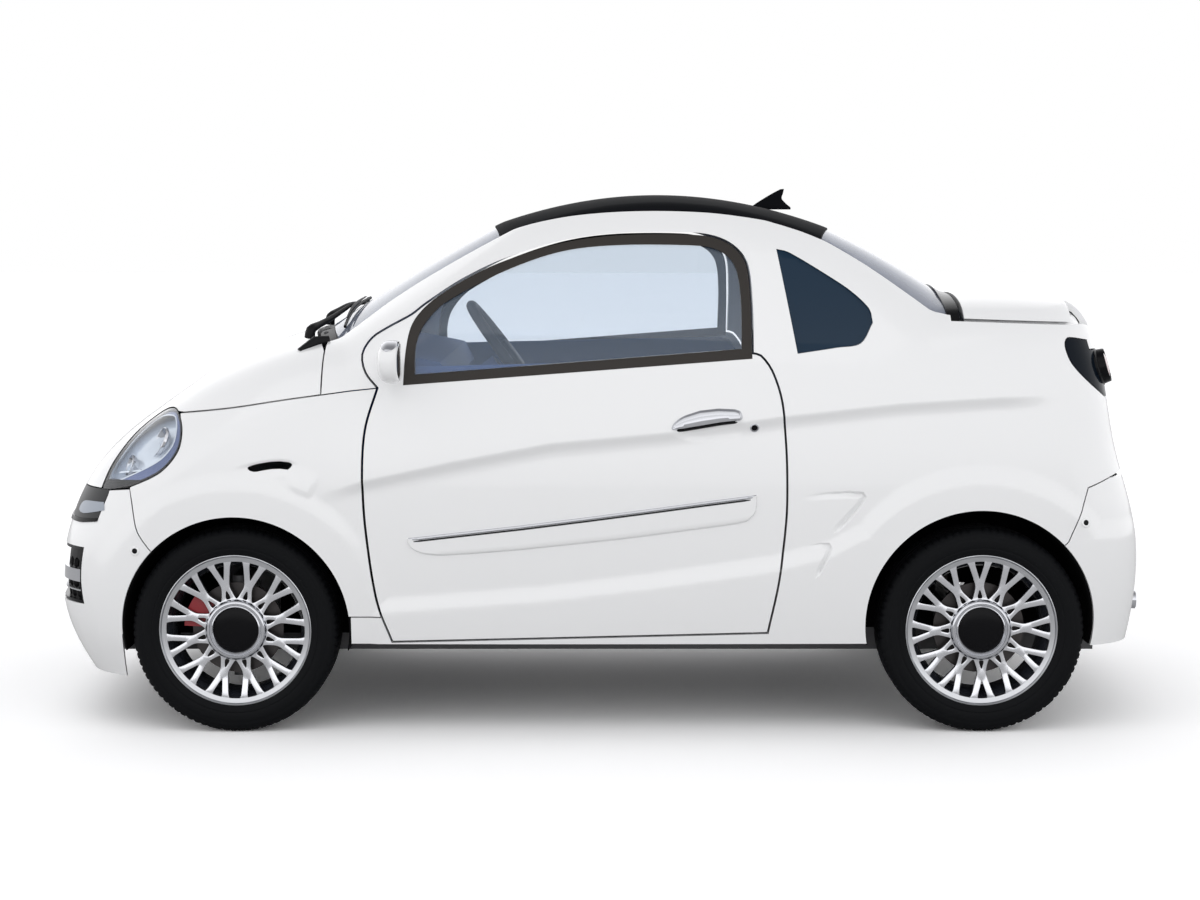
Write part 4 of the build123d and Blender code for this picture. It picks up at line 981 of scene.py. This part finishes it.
# the holes of one spoke unit round the hub: radius, degrees
SPOKE_HOLES = [[(188, -4.8), (188, 0), (188, 4.8), (137, 0.3), (137, -0.3)],
               [(188, 9.8), (189, 15), (188, 20.2), (126, 24.6), (112, 24.3), (84, 16.8), (84, 13.2), (112, 5.7),
                (126, 5.4)],
               [(112, 0), (84, 5.6), (84, -5.6)]]


def joined(meshes):
    """One mesh of several separate ones."""
    result = bpy.data.meshes.new("joined")
    with editing(result) as bm:
        for mesh in meshes:
            bm.from_mesh(mesh)
            bpy.data.meshes.remove(mesh)
    return result


def bevelled(mesh, width):
    thing = new_object("bevelling", mesh)
    step = thing.modifiers.new("bevel", 'BEVEL')
    step.width = width * MM
    step.segments = 2
    step.limit_method = 'ANGLE'
    step.angle_limit = math.radians(35)
    return soft(applied(thing))


def spoke_plate():
    """The plate at the origin, facing -Y: spokes dished inwards, bright where the tool cut them."""
    ring = prism(circle(0, 0, PLATE_R, 144), -PLATE_FACE, -PLATE_BACK)
    holes = []
    for k in range(SPOKES):
        a = 2 * math.pi * k / SPOKES
        for hole in SPOKE_HOLES:
            window = rounded([polar(*corner) for corner in hole])
            holes.append(prism([(x * math.cos(a) + z * math.sin(a), z * math.cos(a) - x * math.sin(a))
                                for x, z in window], -90, 0))
    plate = carve(ring, [("-", joined(holes))])
    with editing(plate) as bm:
        bmesh.ops.triangulate(bm, faces=bm.faces)
        for v in bm.verts:
            v.co.y += MM * PLATE_DISH * smooth((PLATE_R - 10 - math.hypot(v.co.x, v.co.z) / MM) / 60)
    return bevelled(plate, 0.9)


def add_spokes(name, plate, x, side):
    """A copy of the plate, turned and put on its wheel; only what looks outwards is bright."""
    mesh = plate.copy()
    turn = Matrix.Rotation(math.pi if side > 0 else 0, 4, 'Z')
    spin = Matrix.Rotation(math.radians(RIM_TURN[name] * side), 4, 'Y')
    mesh.transform(Matrix.Translation((x * MM, side * WHEEL_Y * MM, WHEEL_R * MM)) @ turn @ spin)
    piece("rim_spokes_" + name, mesh, RIM_FACE, "wheel_" + name)
    mesh.materials.append(RIM_DARK)
    for polygon in mesh.polygons:
        polygon.material_index = 0 if polygon.normal.y * side > FACE_SLOPE else 1


def notch(radius, out, angle):
    """Cross grooves at the tread's shoulders."""
    if radius < NOTCH_FROM[0] or abs(out) < NOTCH_FROM[1]:
        return 0.0
    phase = (angle * TREAD_NOTCHES / (2 * math.pi)) % 1
    return np.where(phase < NOTCH_SHARE, min(NOTCH_DEPTH, (radius - 260) * 0.4), 0.0)


def add_wheels():
    plate = spoke_plate()
    tyre = TYRE + [(r, -w) for r, w in TYRE[-2::-1]]
    for name, (x, side) in WHEELS.items():
        at = (x, side * WHEEL_Y, WHEEL_R, side)
        piece("tyre_" + name + "_skin", lathe("tyre", tyre, *at, TREAD_NOTCHES * 4, notch), TYRE_RUBBER,
              "wheel_" + name, ("tyre_" + name,))
        for label, finish, profile in TURNED_PARTS:
            piece(label + name, lathe("turned", profile, *at), finish, "wheel_" + name,
                  ("rim_" + name,) if label == "rim_lip_" else ())
        add_spokes(name, plate, x, side)


add_wheels()


# ---------------------------------------------------------------- trim that lies on the skin
STRIP_TOP = [(-511, 526), (-390, 540), (-213, 560), (-37, 582), (139, 605), (280, 624), (415, 641)]
STRIP_FOOT = [(-511, 518), (-496, 499), (-480, 490), (-465, 485), (-425, 481), (-340, 486), (-213, 496), (51, 524),
              (272, 553), (360, 565), (391, 573), (408, 591), (415, 612)]
STRIP_RISE = 6
# height of the chrome bar, and of the charcoal strip under it that is a painted reflection: the bar's dark lower half
BAR_H, BAR_REFLECTION_H = 8, 5
HANDLE_TOP = [(182, 815), (188, 827), (195, 835), (208, 847), (224, 856), (264, 869), (311, 874), (356, 872),
              (370, 867), (378, 859), (381, 851)]
HANDLE_FOOT = [(182, 814), (220, 817), (251, 822), (317, 833), (360, 838), (375, 841), (381, 850)]
HANDLE_BASE = 11         # how far the skin's own relief lifts the handle
# height of the black strip of painted shadow under the handle flap
HANDLE_SHADOW_H = 6
LOCK = (408, 820)
PLUGS = [("plug_front", -1233, 493), ("plug_rear", 1287, 568)]


def patch(top, bottom, section, taper=0.05, sunk=3, pressed=True):
    """Raised strip between two lines of the near side; section is (part of the way down, rise) pairs."""
    top, bottom = np.array(top, float), np.array(bottom, float)
    t = np.linspace(0, 1, len(top))
    ends = np.sqrt(np.clip(np.minimum(t, 1 - t) / taper, 0, 1))
    rows = []
    for down, rise in [*section, (1, -sunk), (0, -sunk)]:
        at = top + (bottom - top) * down
        y = side_y(at[:, 0], at[:, 1], 0, pressed) + rise * (ends if rise > 0 else 1)
        rows.append(np.stack([at[:, 0], -y, at[:, 1]], 1))
    return loft("patch", np.stack(rows, 1))


def between(xs, line):
    return [(x, float(np.interp(x, *np.array(line, float).T))) for x in xs]


def standing(mesh, place, way):
    """A turned piece made at the origin facing -Y, put at a place to face another way."""
    turn = Vector((0, -1, 0)).rotation_difference(way).to_matrix().to_4x4()
    mesh.transform(Matrix.Translation(Vector(place) * MM) @ turn)
    return outward(mesh)


def stud(name, profile, x, z, finish, bodies=BODY):
    """A turned piece standing square on the near side, and its mirror image."""
    pair(name, standing(lathe(name, profile[::-1], segments=40), *on_side(x, z, reach=4)), finish, bodies)


def add_rub_strip():
    xs = np.concatenate([np.linspace(-511, -465, 8), np.linspace(-450, 380, 48), np.linspace(386, 415, 8)])
    section = [(0, 0)] + [(down, STRIP_RISE) for down in (0.02, 0.15, 0.3, 0.45, 0.6, 0.75, 0.9)]
    section += [(0.96, STRIP_RISE * 0.6), (1, 0)]
    pair("rub_strip", patch(between(xs, STRIP_TOP), between(xs, STRIP_FOOT), section, taper=0.008), WHITE, DOORS,
         ("door_trim_left", "door_trim_right"))
    top = lowered(between(np.linspace(-508, 413, 60), STRIP_TOP), -2)
    foot = lowered(top, BAR_H)
    section = [(down, STRIP_RISE + rise) for down, rise in ((0, -2), (0.2, 3), (0.5, 4.5), (0.8, 2), (1, -1))]
    pair("rub_strip_bar", patch(top, foot, section, taper=0.02), CHROME, DOORS)
    # Painted reflection: a thin charcoal strip under the chrome bar stands for the dark lower half that the bar
    # mirrors.
    section = [(0, STRIP_RISE), (0.5, STRIP_RISE + 1), (1, STRIP_RISE)]
    pair("rub_strip_dark_reflection", patch(foot, lowered(foot, BAR_REFLECTION_H), section, taper=0.02), CHARCOAL, DOORS)


def add_handle():
    xs = np.concatenate([np.linspace(182, 226, 12), np.linspace(234, 350, 20), np.linspace(354, 381, 10)])
    top, foot = between(xs, HANDLE_TOP), between(xs, HANDLE_FOOT)
    section = [(down, HANDLE_BASE + rise)
               for down, rise in ((0, 0), (0.08, 7), (0.25, 12), (0.5, 15), (0.75, 15), (0.92, 11), (1, 4))]
    pair("handle_flap", patch(top, foot, section, taper=0.10, sunk=-4, pressed=False), CHROME, DOORS)
    # Painted shadow: a black strip just under the flap stands for the shade that falls in the gap beneath it.
    section = [(0, HANDLE_BASE + 3), (0.5, HANDLE_BASE + 4), (1, HANDLE_BASE + 1)]
    gap = patch(foot, lowered(foot, HANDLE_SHADOW_H), section, taper=0.15, sunk=-3, pressed=False)
    pair("handle_shadow_strip", gap, BLACK, DOORS)
    stud("lock_ring", [(12, -2), (12, 1.5), (11, 2.6), (9, 2.4), (8.4, 0.8), (8.4, -2)], *LOCK, CHROME, DOORS)
    stud("lock_core", [(8, -2), (8, 0.8), (6.6, 1.0), (6, 2.2), (0.001, 2.2)], *LOCK, GLOSS, DOORS)


def add_plugs():
    for name, x, z in PLUGS:
        stud(name + "_ring", [(13, -2), (13, 1), (11, 2.4), (7.6, 2.4), (7, 0.6), (7, -2)], x, z, WHITE)
        stud(name, [(6.8, -2), (6.8, 1.2), (4, 2), (0.001, 2.2)], x, z, BLACK)


# ---------------------------------------------------------------- door mirror
MIRROR_AT = (-548, -800, 998)
MIRROR_HALF = (31, 74, 55)
MIRROR_BULGE = 2.6
MIRROR_SQUARE = (0.3, 0.3)       # corner shape of the opening and its glass
# outline of the bright cap, from the mirror's middle
MIRROR_CAP = [(-18, 38), (-4, 30), (12, 34), (25, 44), (25, 70), (-18, 70)]
# foot: y, then offset in x and z from the mirror's middle, half sizes in x and z
MIRROR_FOOT = [(-735, -4, -12, 22, 22), (-712, -4, -14, 18, 18), (-690, -5, -16, 18, 18), (-668, -6, -18, 24, 26),
               (-654, -7, -19, 34, 36)]


def blob(half, front_shape=1.0, rear_shape=0.28, rows=26, columns=48):
    """A rounded shell drawn out along Y, fuller at its rear than at its front."""
    a = np.arange(columns) * 2 * math.pi / columns
    c, s = np.cos(a), np.sin(a)
    x = np.sign(c) * np.abs(c) ** np.where(c > 0, rear_shape, front_shape)
    z = np.sign(s) * np.abs(s) ** 0.75
    points = []
    for t in np.sin(np.linspace(-math.pi / 2, math.pi / 2, rows))[1:-1]:
        w = (1 - abs(t) ** MIRROR_BULGE) ** (1 / MIRROR_BULGE)
        points.append(np.stack([half[0] * x * w ** 0.6, np.full(columns, half[1] * t), half[2] * z * w], 1))
    return outward(shell("blob", np.concatenate(points + [np.array([(0, -half[1], 0), (0, half[1], 0)])]), columns))


def placed(mesh, place):
    mesh.transform(Matrix.Translation(Vector(place) * MM))
    return mesh


def add_mirror():
    x, y, z = MIRROR_AT
    a, b, c = MIRROR_HALF
    opening = placed(blob((10, b - 9, c - 9), *MIRROR_SQUARE), (x + a - 3, y, z))
    shell_mesh = carve(placed(blob(MIRROR_HALF), MIRROR_AT), [("-", opening)])
    pair("mirror_shell", soft(shell_mesh, 40), WHITE, DOORS, ("mirror_left", "mirror_right"))
    pane = placed(blob((2, b - 10, c - 10), *MIRROR_SQUARE), (x + a - 8, y, z))
    pair("mirror_glass", soft(pane, 40), CHROME, DOORS)
    region = prism([(x + dx, z + dz) for dx, dz in MIRROR_CAP], y - b * 1.1, y + b * 0.2)
    cap = carve(placed(blob((a + 1.4, b + 1, c + 1.4)), MIRROR_AT),
                [("&", region), ("-", placed(blob(MIRROR_HALF), MIRROR_AT))])
    pair("mirror_cap", soft(largest(cap), 40), CHROME, DOORS)
    t = np.arange(28) * 2 * math.pi / 28
    rings = [np.stack([x + dx + wide * np.cos(t), np.full(28, y_row), z + dz + high * np.sin(t)], 1)
             for y_row, dx, dz, wide, high in MIRROR_FOOT]
    pair("mirror_foot", loft("foot", rings), WHITE, DOORS)


# ---------------------------------------------------------------- lamps and grille
LAMP = LAMP_ROUND + [LAMP_FOOT]
POCKET = [(-1152, 842), (-1142, 838), (-1133, 815), (-1132, 795), (-1138, 768), (-1166, 734), (-1206, 710),
          (-1257, 686), (-1300, 668), (-1317, 672), (-1309, 700), (-1290, 730), (-1258, 776), (-1220, 815),
          (-1185, 838)]
ABOVE_LAMP_FOOT = [(-1400, 670), (-1000, 690), (-1000, 1000), (-1400, 1000)]
LAMP_FIN = [(-1290, 690), (-1225, 700), (-1225, 704), (-1290, 694)]
BOWLS = [(-1182, 775, 40), (-1262, 712, 27)]         # x, z, radius
BULB_PROFILE = [(0.001, -3), (5, -4), (8, -8), (9, -14), (8, -23), (0.001, -25)]
DAY_LAMP = [(-1412, 586), (-1404, 604), (-1388, 613), (-1326, 616), (-1324, 595), (-1358, 587), (-1395, 580)]
NOSE_LIP = [(-FAR, 560), (-1401, 556), (-1348, 564), (-1343, 573), (-1400, 567), (-FAR, 571)]
GRILLE_BAR, GRILLE_SLAT = (396, 430), (370, 374)
HONEY_PITCH, HONEY_R = 31, 15.5
TAIL_ROUND = (1372, -548, 976)
TAIL_WAY = (0.93, -0.24, 0.28)
TAIL_R = 46
TAIL_RIM = [(TAIL_R * 0.8, 0), (TAIL_R - 6, -3), (TAIL_R - 4, 2), (TAIL_R - 1, 3), (TAIL_R, 0), (TAIL_R + 2, -16),
            (TAIL_R + 8, -20), (TAIL_R + 9, -24), (TAIL_R + 6, -44)]
TAIL_DISC = [(0.001, 5), (TAIL_R * 0.5, 4), (TAIL_R * 0.82, 0), (TAIL_R * 0.82, -8)]


def add_headlamp():
    pocket = curve_through(POCKET, 14)
    for name, depths, outline, hole, finish, stands_for in (
            ("lamp_lens", (0, LENS_T), grow(LAMP, -1), None, LENS, ("headlamp_lenses",)),
            ("lamp_rim", (LENS_T + 1, 18), grow(LAMP, -0.5), grow(LAMP, -6), GLOSS, ("headlamps",)),
            ("lamp_band", (9, 18), grow(LAMP, -5), pocket, LAMP_BLUE, ()),
            ("lamp_wall", (8, 46), grow(pocket, 1.5), grow(pocket, -1.5), LAMP_SILVER, ()),
            ("lamp_back", (40, 46), grow(pocket, 2), None, LAMP_SILVER, ()),
            ("lamp_foot", (5, 20), grow(LAMP, -5), ABOVE_LAMP_FOOT, GLOSS, ())):
        cuts = [near_side(hole, LAMP_IN)] if hole else []
        side_panel(name, depths, outline, finish, cuts, stands_for=stands_for, inner=LAMP_IN)
    fin = layer(20, 44, [("&", near_side(LAMP_FIN, LAMP_IN)), ("&", near_side(grow(pocket, -1), LAMP_IN))])
    pair("lamp_fins", fin, LAMP_SILVER, depths=(20, 44))
    for k, (x, z, r) in enumerate(BOWLS):
        place, facing = on_side(x, z, 24, False)
        way = (facing + Vector((-1, 0, 0))).normalized()
        bowl = [(0.001, -24), (r * 0.3, -23), (r * 0.65, -16), (r * 0.9, -5), (r, 0), (r + 2, 0.5), (r + 3, -1),
                (r + 2, -8), (r * 0.7, -22), (r * 0.35, -28), (0.001, -29)]
        for part_name, profile, finish in (("bowl", bowl, CHROME), ("bulb", BULB_PROFILE, BULB)):
            turned = standing(lathe(part_name, profile, segments=48), place, way)
            pair("lamp_%s_%d" % (part_name, k + 1), turned, finish)


def add_day_lamp():
    side_panel("day_lamp", (-2, 5), curve_through(DAY_LAMP, 8, corners=(3, 4)), DAY_GREY)
    cross_panel("nose_lip", (-4, 4), [side_prism(NOSE_LIP)], GLOSS)


def add_grille():
    low, high = GRILLE_Z
    cross_panel("grille_back", (44, 50), [front_box(1, low + 1, high - 1)], LINER, stands_for=("front_grille",))
    rise = HONEY_PITCH * 0.87
    holes = []
    for r in range(int((high - low - 20) / rise)):
        for c in range(-21, 22):
            y, z = (c + 0.5 * (r % 2)) * HONEY_PITCH, low + 24 + r * rise
            if abs(y) < GRILLE_HALF - 26:
                holes.append(front_prism([(y + HONEY_R * math.sin(a), z + HONEY_R * math.cos(a))
                                          for a in np.arange(6) * math.pi / 3], -FAR, -1200))
    piece("grille_mesh", layer(16, 26, [("&", front_box(1, low + 1, high - 1)), ("-", joined(holes))]), BLACK)
    piece("grille_surround", layer(3, 44, [("&", front_box(1, low + 1, high - 1)),
                                           ("-", front_box(9, low + 9, high - 9, -1200))]), GLOSS)
    cross_panel("grille_bar", (5, 16), [front_box(4, *GRILLE_BAR)], CHROME)
    cross_panel("grille_slat", (9, 18), [front_box(6, *GRILLE_SLAT)], SATIN)


def add_tail_lamp():
    side_panel("tail_lens", (-1, 14), grow(TAIL_ROUND_LINE, -1), TAIL_BLACK, stands_for=("tail_lamps",),
               inner=TAIL_LAMP_IN)
    side_panel("tail_box", (14, 30), grow(TAIL_ROUND_LINE, -4), BLACK, inner=TAIL_LAMP_IN)
    for name, profile, finish in (("tail_round", TAIL_RIM, GLOSS), ("tail_red", TAIL_DISC, TAIL_RED)):
        pair(name, standing(lathe(name, profile, segments=64), TAIL_ROUND, Vector(TAIL_WAY).normalized()), finish)


# ---------------------------------------------------------------- tubes: wipers, steering wheel
# pivot y, arm end (x, y), blade half length
WIPERS = [("near", -430, (-705, -210), 235), ("far", 60, (-712, 270), 215)]
CAP_LINE = [(-812, 560, -4), (-770, 540, 6), (-735, 530, 2)]       # x, y, lift
CAP_SIZES = [10, 17, 12]
ROOF_FIN = [(436, 1402), (462, 1420), (498, 1442), (526, 1457), (537, 1458), (534, 1444), (530, 1431), (540, 1418),
            (556, 1404), (556, 1398), (436, 1398)]
FIN_WIDTHS = [1400, 1420, 1458], [1.5, 0.8, 0.35]                  # over its height


def tube(points, radius, sides=10, closed=False):
    """A round bar along a line; radius is one number or one for each point."""
    pts = [Vector(p) for p in points]
    count = len(pts)
    radii = radius if hasattr(radius, "__len__") else [radius] * count
    rings, across = [], None
    for i, p in enumerate(pts):
        before = pts[(i - 1) % count] if closed or i else p
        after = pts[(i + 1) % count] if closed or i + 1 < count else p
        way = (after - before).normalized()
        across = across or way.orthogonal()
        across = (across - way * across.dot(way)).normalized()
        up = way.cross(across)
        rings.append([tuple(p + (across * math.cos(a) + up * math.sin(a)) * radii[i])
                      for a in np.arange(sides) * 2 * math.pi / sides])
    return loft("tube", rings, 50, closed)


def on_screen(x, y, lift):
    return (x, y, float(crown_height(np.array([float(x)]), np.array([float(y)]))[0]) + lift)


def add_wipers():
    for name, pivot_y, (x, y), half in WIPERS:
        base = on_screen(-800, pivot_y, 4)
        top = (base[0] + 4, base[1], base[2] + 22)
        middle = on_screen(-752, pivot_y + (y - pivot_y) * 0.45, 34)
        arm = curve_through([base, top, middle, on_screen(x, y, 22)], 14, closed=False)
        sizes = np.interp(np.arange(len(arm)), [0, 3, 6, len(arm) - 1], [15, 13, 9, 5])
        piece("wiper_arm_" + name, tube(arm, list(sizes)), BLACK)
        ys = np.linspace(y - half, y + half, 24)
        edge = [(x + 14 + 16 * ((v - y) / half) ** 2 - 30 * ((v / 480) ** 2), v) for v in ys]
        piece("wiper_blade_" + name, tube([on_screen(*e, 5) for e in edge], 4.5, 8), BLACK)
        spine = [on_screen(*e, 15) for e in edge[3:-3]]
        sizes = np.interp(np.linspace(-1, 1, len(spine)), [-1, 0, 1], [2, 5, 2])
        piece("wiper_spine_" + name, tube(spine, list(sizes), 8), BLACK)
    for name, side in (("l", -1), ("r", 1)):
        line = [on_screen(x, side * y, lift) for x, y, lift in CAP_LINE]
        piece("cowl_cap_" + name, tube(line, CAP_SIZES, 12), BLACK)


def add_fin():
    mesh = prism(curve_through(ROOF_FIN, 6, corners=(0, 3, 4, 8, 9, 10)), -9, 9)
    for v in mesh.vertices:
        v.co.y *= float(np.interp(v.co.z / MM, *FIN_WIDTHS))
    piece("fin", bevelled(outward(mesh), 1.2), ROOF_BLACK, stands_for=("roof_fin",))


# ---------------------------------------------------------------- cabin
SPOKE_TURNS = (0, 180, 270)
SEAT_NEAR, SEAT_FAR = -535, -105
CUSHION = [(-92, 400), (-84, 455), (-40, 478), (100, 462), (250, 448), (330, 450), (348, 400), (300, 362), (100, 360),
           (-40, 368)]
BACKREST = [(330, 400), (352, 480), (400, 640), (450, 800), (500, 950), (535, 1000), (568, 990), (572, 940),
            (530, 780), (480, 600), (440, 440), (400, 392)]
HEADREST = [(520, 1052), (528, 1120), (548, 1165), (578, 1166), (594, 1130), (588, 1070), (566, 1044), (536, 1040)]
# outline, near and far y, rounding at the ends, puff, bolster, fill
SEAT_PARTS = [("cushion", CUSHION, SEAT_NEAR, SEAT_FAR, 34, 4, 16, 0.7),
              ("back", BACKREST, SEAT_NEAR + 10, SEAT_FAR - 10, 30, 4, 16, 0.7),
              ("headrest", HEADREST, -430, -210, 26, 3, 0, 0.8)]
SEAT_BASE = [(-70, 244), (-40, 352), (330, 352), (360, 244)]


def add_steering_wheel():
    tilt = Matrix.Translation(Vector(COLUMN_PLACE) * MM) @ Matrix.Rotation(math.radians(-COLUMN_LEAN), 4, 'Y')
    ring = [(0, STEERING_R * math.cos(a), STEERING_R * math.sin(a)) for a in np.arange(64) * math.pi / 32]
    parts = [("steering_rim", tube(ring, 14, 14, closed=True), BLACK),
             ("steering_hub", soft(blob((24, 58, 50))), BLACK)]
    for k, degrees in enumerate(SPOKE_TURNS):
        a = math.radians(degrees)
        line = [(-8 + 8 * t, math.cos(a) * (30 + (STEERING_R - 32) * t), math.sin(a) * (30 + (STEERING_R - 32) * t))
                for t in (0, 0.25, 0.5, 0.75, 1)]
        parts.append(("steering_spoke_%d" % k, tube(line, [17, 13, 10, 9, 10], 12), SATIN))
    for name, mesh, finish in parts:
        mesh.transform(tilt)
        piece(name, mesh, finish, "steering_wheel", ("steering_wheel",) if name == "steering_rim" else ())


def cushion(outline, y0, y1, edge, puff, bolster):
    """Stuffed piece: an outline of the side view drawn across, rounded over at both ends."""
    base = np.array(curve_through(outline, 16))
    ahead, behind = np.roll(base, -1, 0), np.roll(base, 1, 0)
    way = ahead - behind
    normal = np.stack([way[:, 1], -way[:, 0]], 1) / np.linalg.norm(way, axis=1, keepdims=True)
    normal *= np.sign(np.sum(base[:, 0] * ahead[:, 1] - ahead[:, 0] * base[:, 1]))
    middle, half = (y0 + y1) / 2, (y1 - y0) / 2
    stations = [(-half + edge * (1 - math.cos(a)), edge * (1 - math.sin(a))) for a in np.linspace(0, math.pi / 2, 5)]
    stations += [(v, 0.0) for v in np.linspace(-half + edge, half - edge, 15)[1:-1]]
    stations += [(-v, shrink) for v, shrink in stations[4::-1]]
    rings = []
    for y, shrink in stations:
        t = abs(y) / half
        swell = puff * (1 - t * t) + bolster * smooth((t - 0.52) / 0.14)
        seam = 5 * math.exp(-((t - 0.54) / 0.035) ** 2)
        moved = base + normal * float(swell - seam - shrink)
        rings.append(np.stack([moved[:, 0], np.full(len(base), middle + y), moved[:, 1]], 1))
    return loft("cushion", rings, 60)


def add_seats():
    for name, side in (("l", 1), ("r", -1)):
        for part_name, *shape, fill in SEAT_PARTS:
            mesh = cushion(*shape)
            if side < 0:
                mesh = outward(mirrored(mesh))
            stands_for = ("seats",) if (part_name, name) == ("cushion", "l") else ()
            piece("seat_%s_%s" % (part_name, name), mesh, CLOTH, stands_for=stands_for)
        for k, y in enumerate((-375, -265)):
            piece("seat_post_%s_%d" % (name, k), tube([(548, y * side, 985), (556, y * side, 1060)], 6, 10), SATIN)
        base = prism(SEAT_BASE, -480, -160)
        piece("seat_base_" + name, bevelled(outward(mirrored(base) if side < 0 else base), 6), BLACK)


for add in (add_rub_strip, add_handle, add_plugs, add_mirror, add_headlamp, add_day_lamp, add_grille, add_tail_lamp,
            add_wipers, add_fin, add_steering_wheel, add_seats):
    add()
bpy.data.meshes.remove(SKIN)

# ---------------------------------------------------------------- CAD pieces that stay in view
FINISH = {"frame_steel": STEEL, "engine_cast": CAST, "interior_grey": INSIDE, "seat_cloth": CLOTH,
          "black_trim": BLACK, "tyre_rubber": BLACK, "alloy": SATIN, "caliper_red": RED, "bright": CHROME,
          "body_white": WHITE, "roof_black": ROOF_BLACK, "lamp_silver": SATIN, "lens_clear": LENS,
          "lens_dark": GLOSS, "clear_glass": DOOR_BLUE, "privacy_glass": PRIVACY}
slot_of = {part["node"]: part["material_slot"] for part in frame["record"]["subparts"]}
for part_node, thing in frame["nodes"].items():
    if not thing.hide_render:
        thing.data.materials.clear()
        thing.data.materials.append(LINER if part_node == "arch_liners" else FINISH[slot_of[part_node]])

# ---------------------------------------------------------------- stage, light, camera
SKY_STRENGTH = 1.06
# height from straight down (0) over the horizon (0.5) to straight up (1), and the light from there
SKY = [(0.0, (0.62, 0.62, 0.63, 1)), (0.48, (1.1, 1.1, 1.1 * 1.01, 1)), (0.56, (1.45, 1.45, 1.45 * 1.01, 1)),
       (0.75, (1.12, 1.12, 1.12 * 1.01, 1)), (1.0, (0.30, 0.30, 0.31, 1))]
FLOOR_ALBEDO, FLOOR_SEEN = 0.60, 1.25
FLOOR_CORNERS = [(-40, -40, 0), (40, -40, 0), (40, 60, 0), (-40, 60, 0)]
SOFT_BOX_PLACE, SOFT_BOX_AIM = (-1.0, -3.5, 5.5), (0, 0, 0.6)
SOFT_BOX_SIZE, SOFT_BOX_POWER = (6, 3), 30
CAMERA_PLACE = (0.0, -7.0, 1.355)
CAMERA_PITCH = 5.41
FOCAL = 71.5


def camera_switch(tree, lit, seen, out):
    """Shows the camera one thing and lights the scene with another."""
    path, mix = node(tree, "LightPath"), node(tree, "MixShader")
    wire(tree, (path, "Is Camera Ray", mix, "Fac"), (lit, 0, mix, 1), (seen, 0, mix, 2), (mix, 0, out, "Surface"))


def add_stage():
    """Floor: white to the camera, darker to the light it throws back."""
    mesh = bpy.data.meshes.new("floor")
    mesh.from_pydata(FLOOR_CORNERS, [], [(0, 1, 2, 3)])
    floor = new_object("floor", mesh)
    finish, tree = blank("floor_white")
    tree.nodes.clear()
    coats = [node(tree, "BsdfDiffuse", {"Color": (level, level, level, 1)}) for level in (FLOOR_ALBEDO, FLOOR_SEEN)]
    camera_switch(tree, *coats, node(tree, "OutputMaterial"))
    mesh.materials.append(finish)


def add_sky():
    """White to the camera; a soft grey gradient for lighting and mirrors."""
    world = bpy.data.worlds.new("sky")
    bpy.context.scene.world = world
    world.use_nodes = True
    tree = world.node_tree
    tree.nodes.clear()
    place, split, ramp = node(tree, "TexCoord"), node(tree, "SeparateXYZ"), node(tree, "ValToRGB")
    stops = ramp.color_ramp.elements
    for stop, (position, color) in zip(stops, (SKY[0], SKY[-1])):
        stop.position, stop.color = position, color
    for position, color in SKY[1:-1]:
        stops.new(position).color = color
    half = node(tree, "Math", {1: 0.5, 2: 0.5}, operation='MULTIPLY_ADD')
    light = node(tree, "Background", {"Strength": SKY_STRENGTH})
    wire(tree, (place, "Generated", split, 0), (split, "Z", half, 0), (half, 0, ramp, "Fac"),
         (ramp, "Color", light, "Color"))
    camera_switch(tree, light, node(tree, "Background", {"Color": (1, 1, 1, 1)}), node(tree, "OutputWorld"))


def add_lamp(name, place, aim, size, power):
    data = bpy.data.lights.new(name, 'AREA')
    data.shape = 'RECTANGLE'
    data.size, data.size_y = size
    data.energy = power
    lamp = new_object(name, data)
    lamp.location = place
    lamp.rotation_euler = (Vector(aim) - Vector(place)).to_track_quat('-Z', 'Y').to_euler()


add_stage()
add_sky()
add_lamp("soft_box_top", SOFT_BOX_PLACE, SOFT_BOX_AIM, SOFT_BOX_SIZE, SOFT_BOX_POWER)
camera_data = bpy.data.cameras.new("camera")
camera_data.lens = FOCAL
camera = new_object("camera", camera_data)
camera.location = CAMERA_PLACE
camera.rotation_euler = (math.radians(90 - CAMERA_PITCH), 0, 0)
bpy.context.scene.camera = camera
bpy.context.scene.view_settings.view_transform = 'Standard'
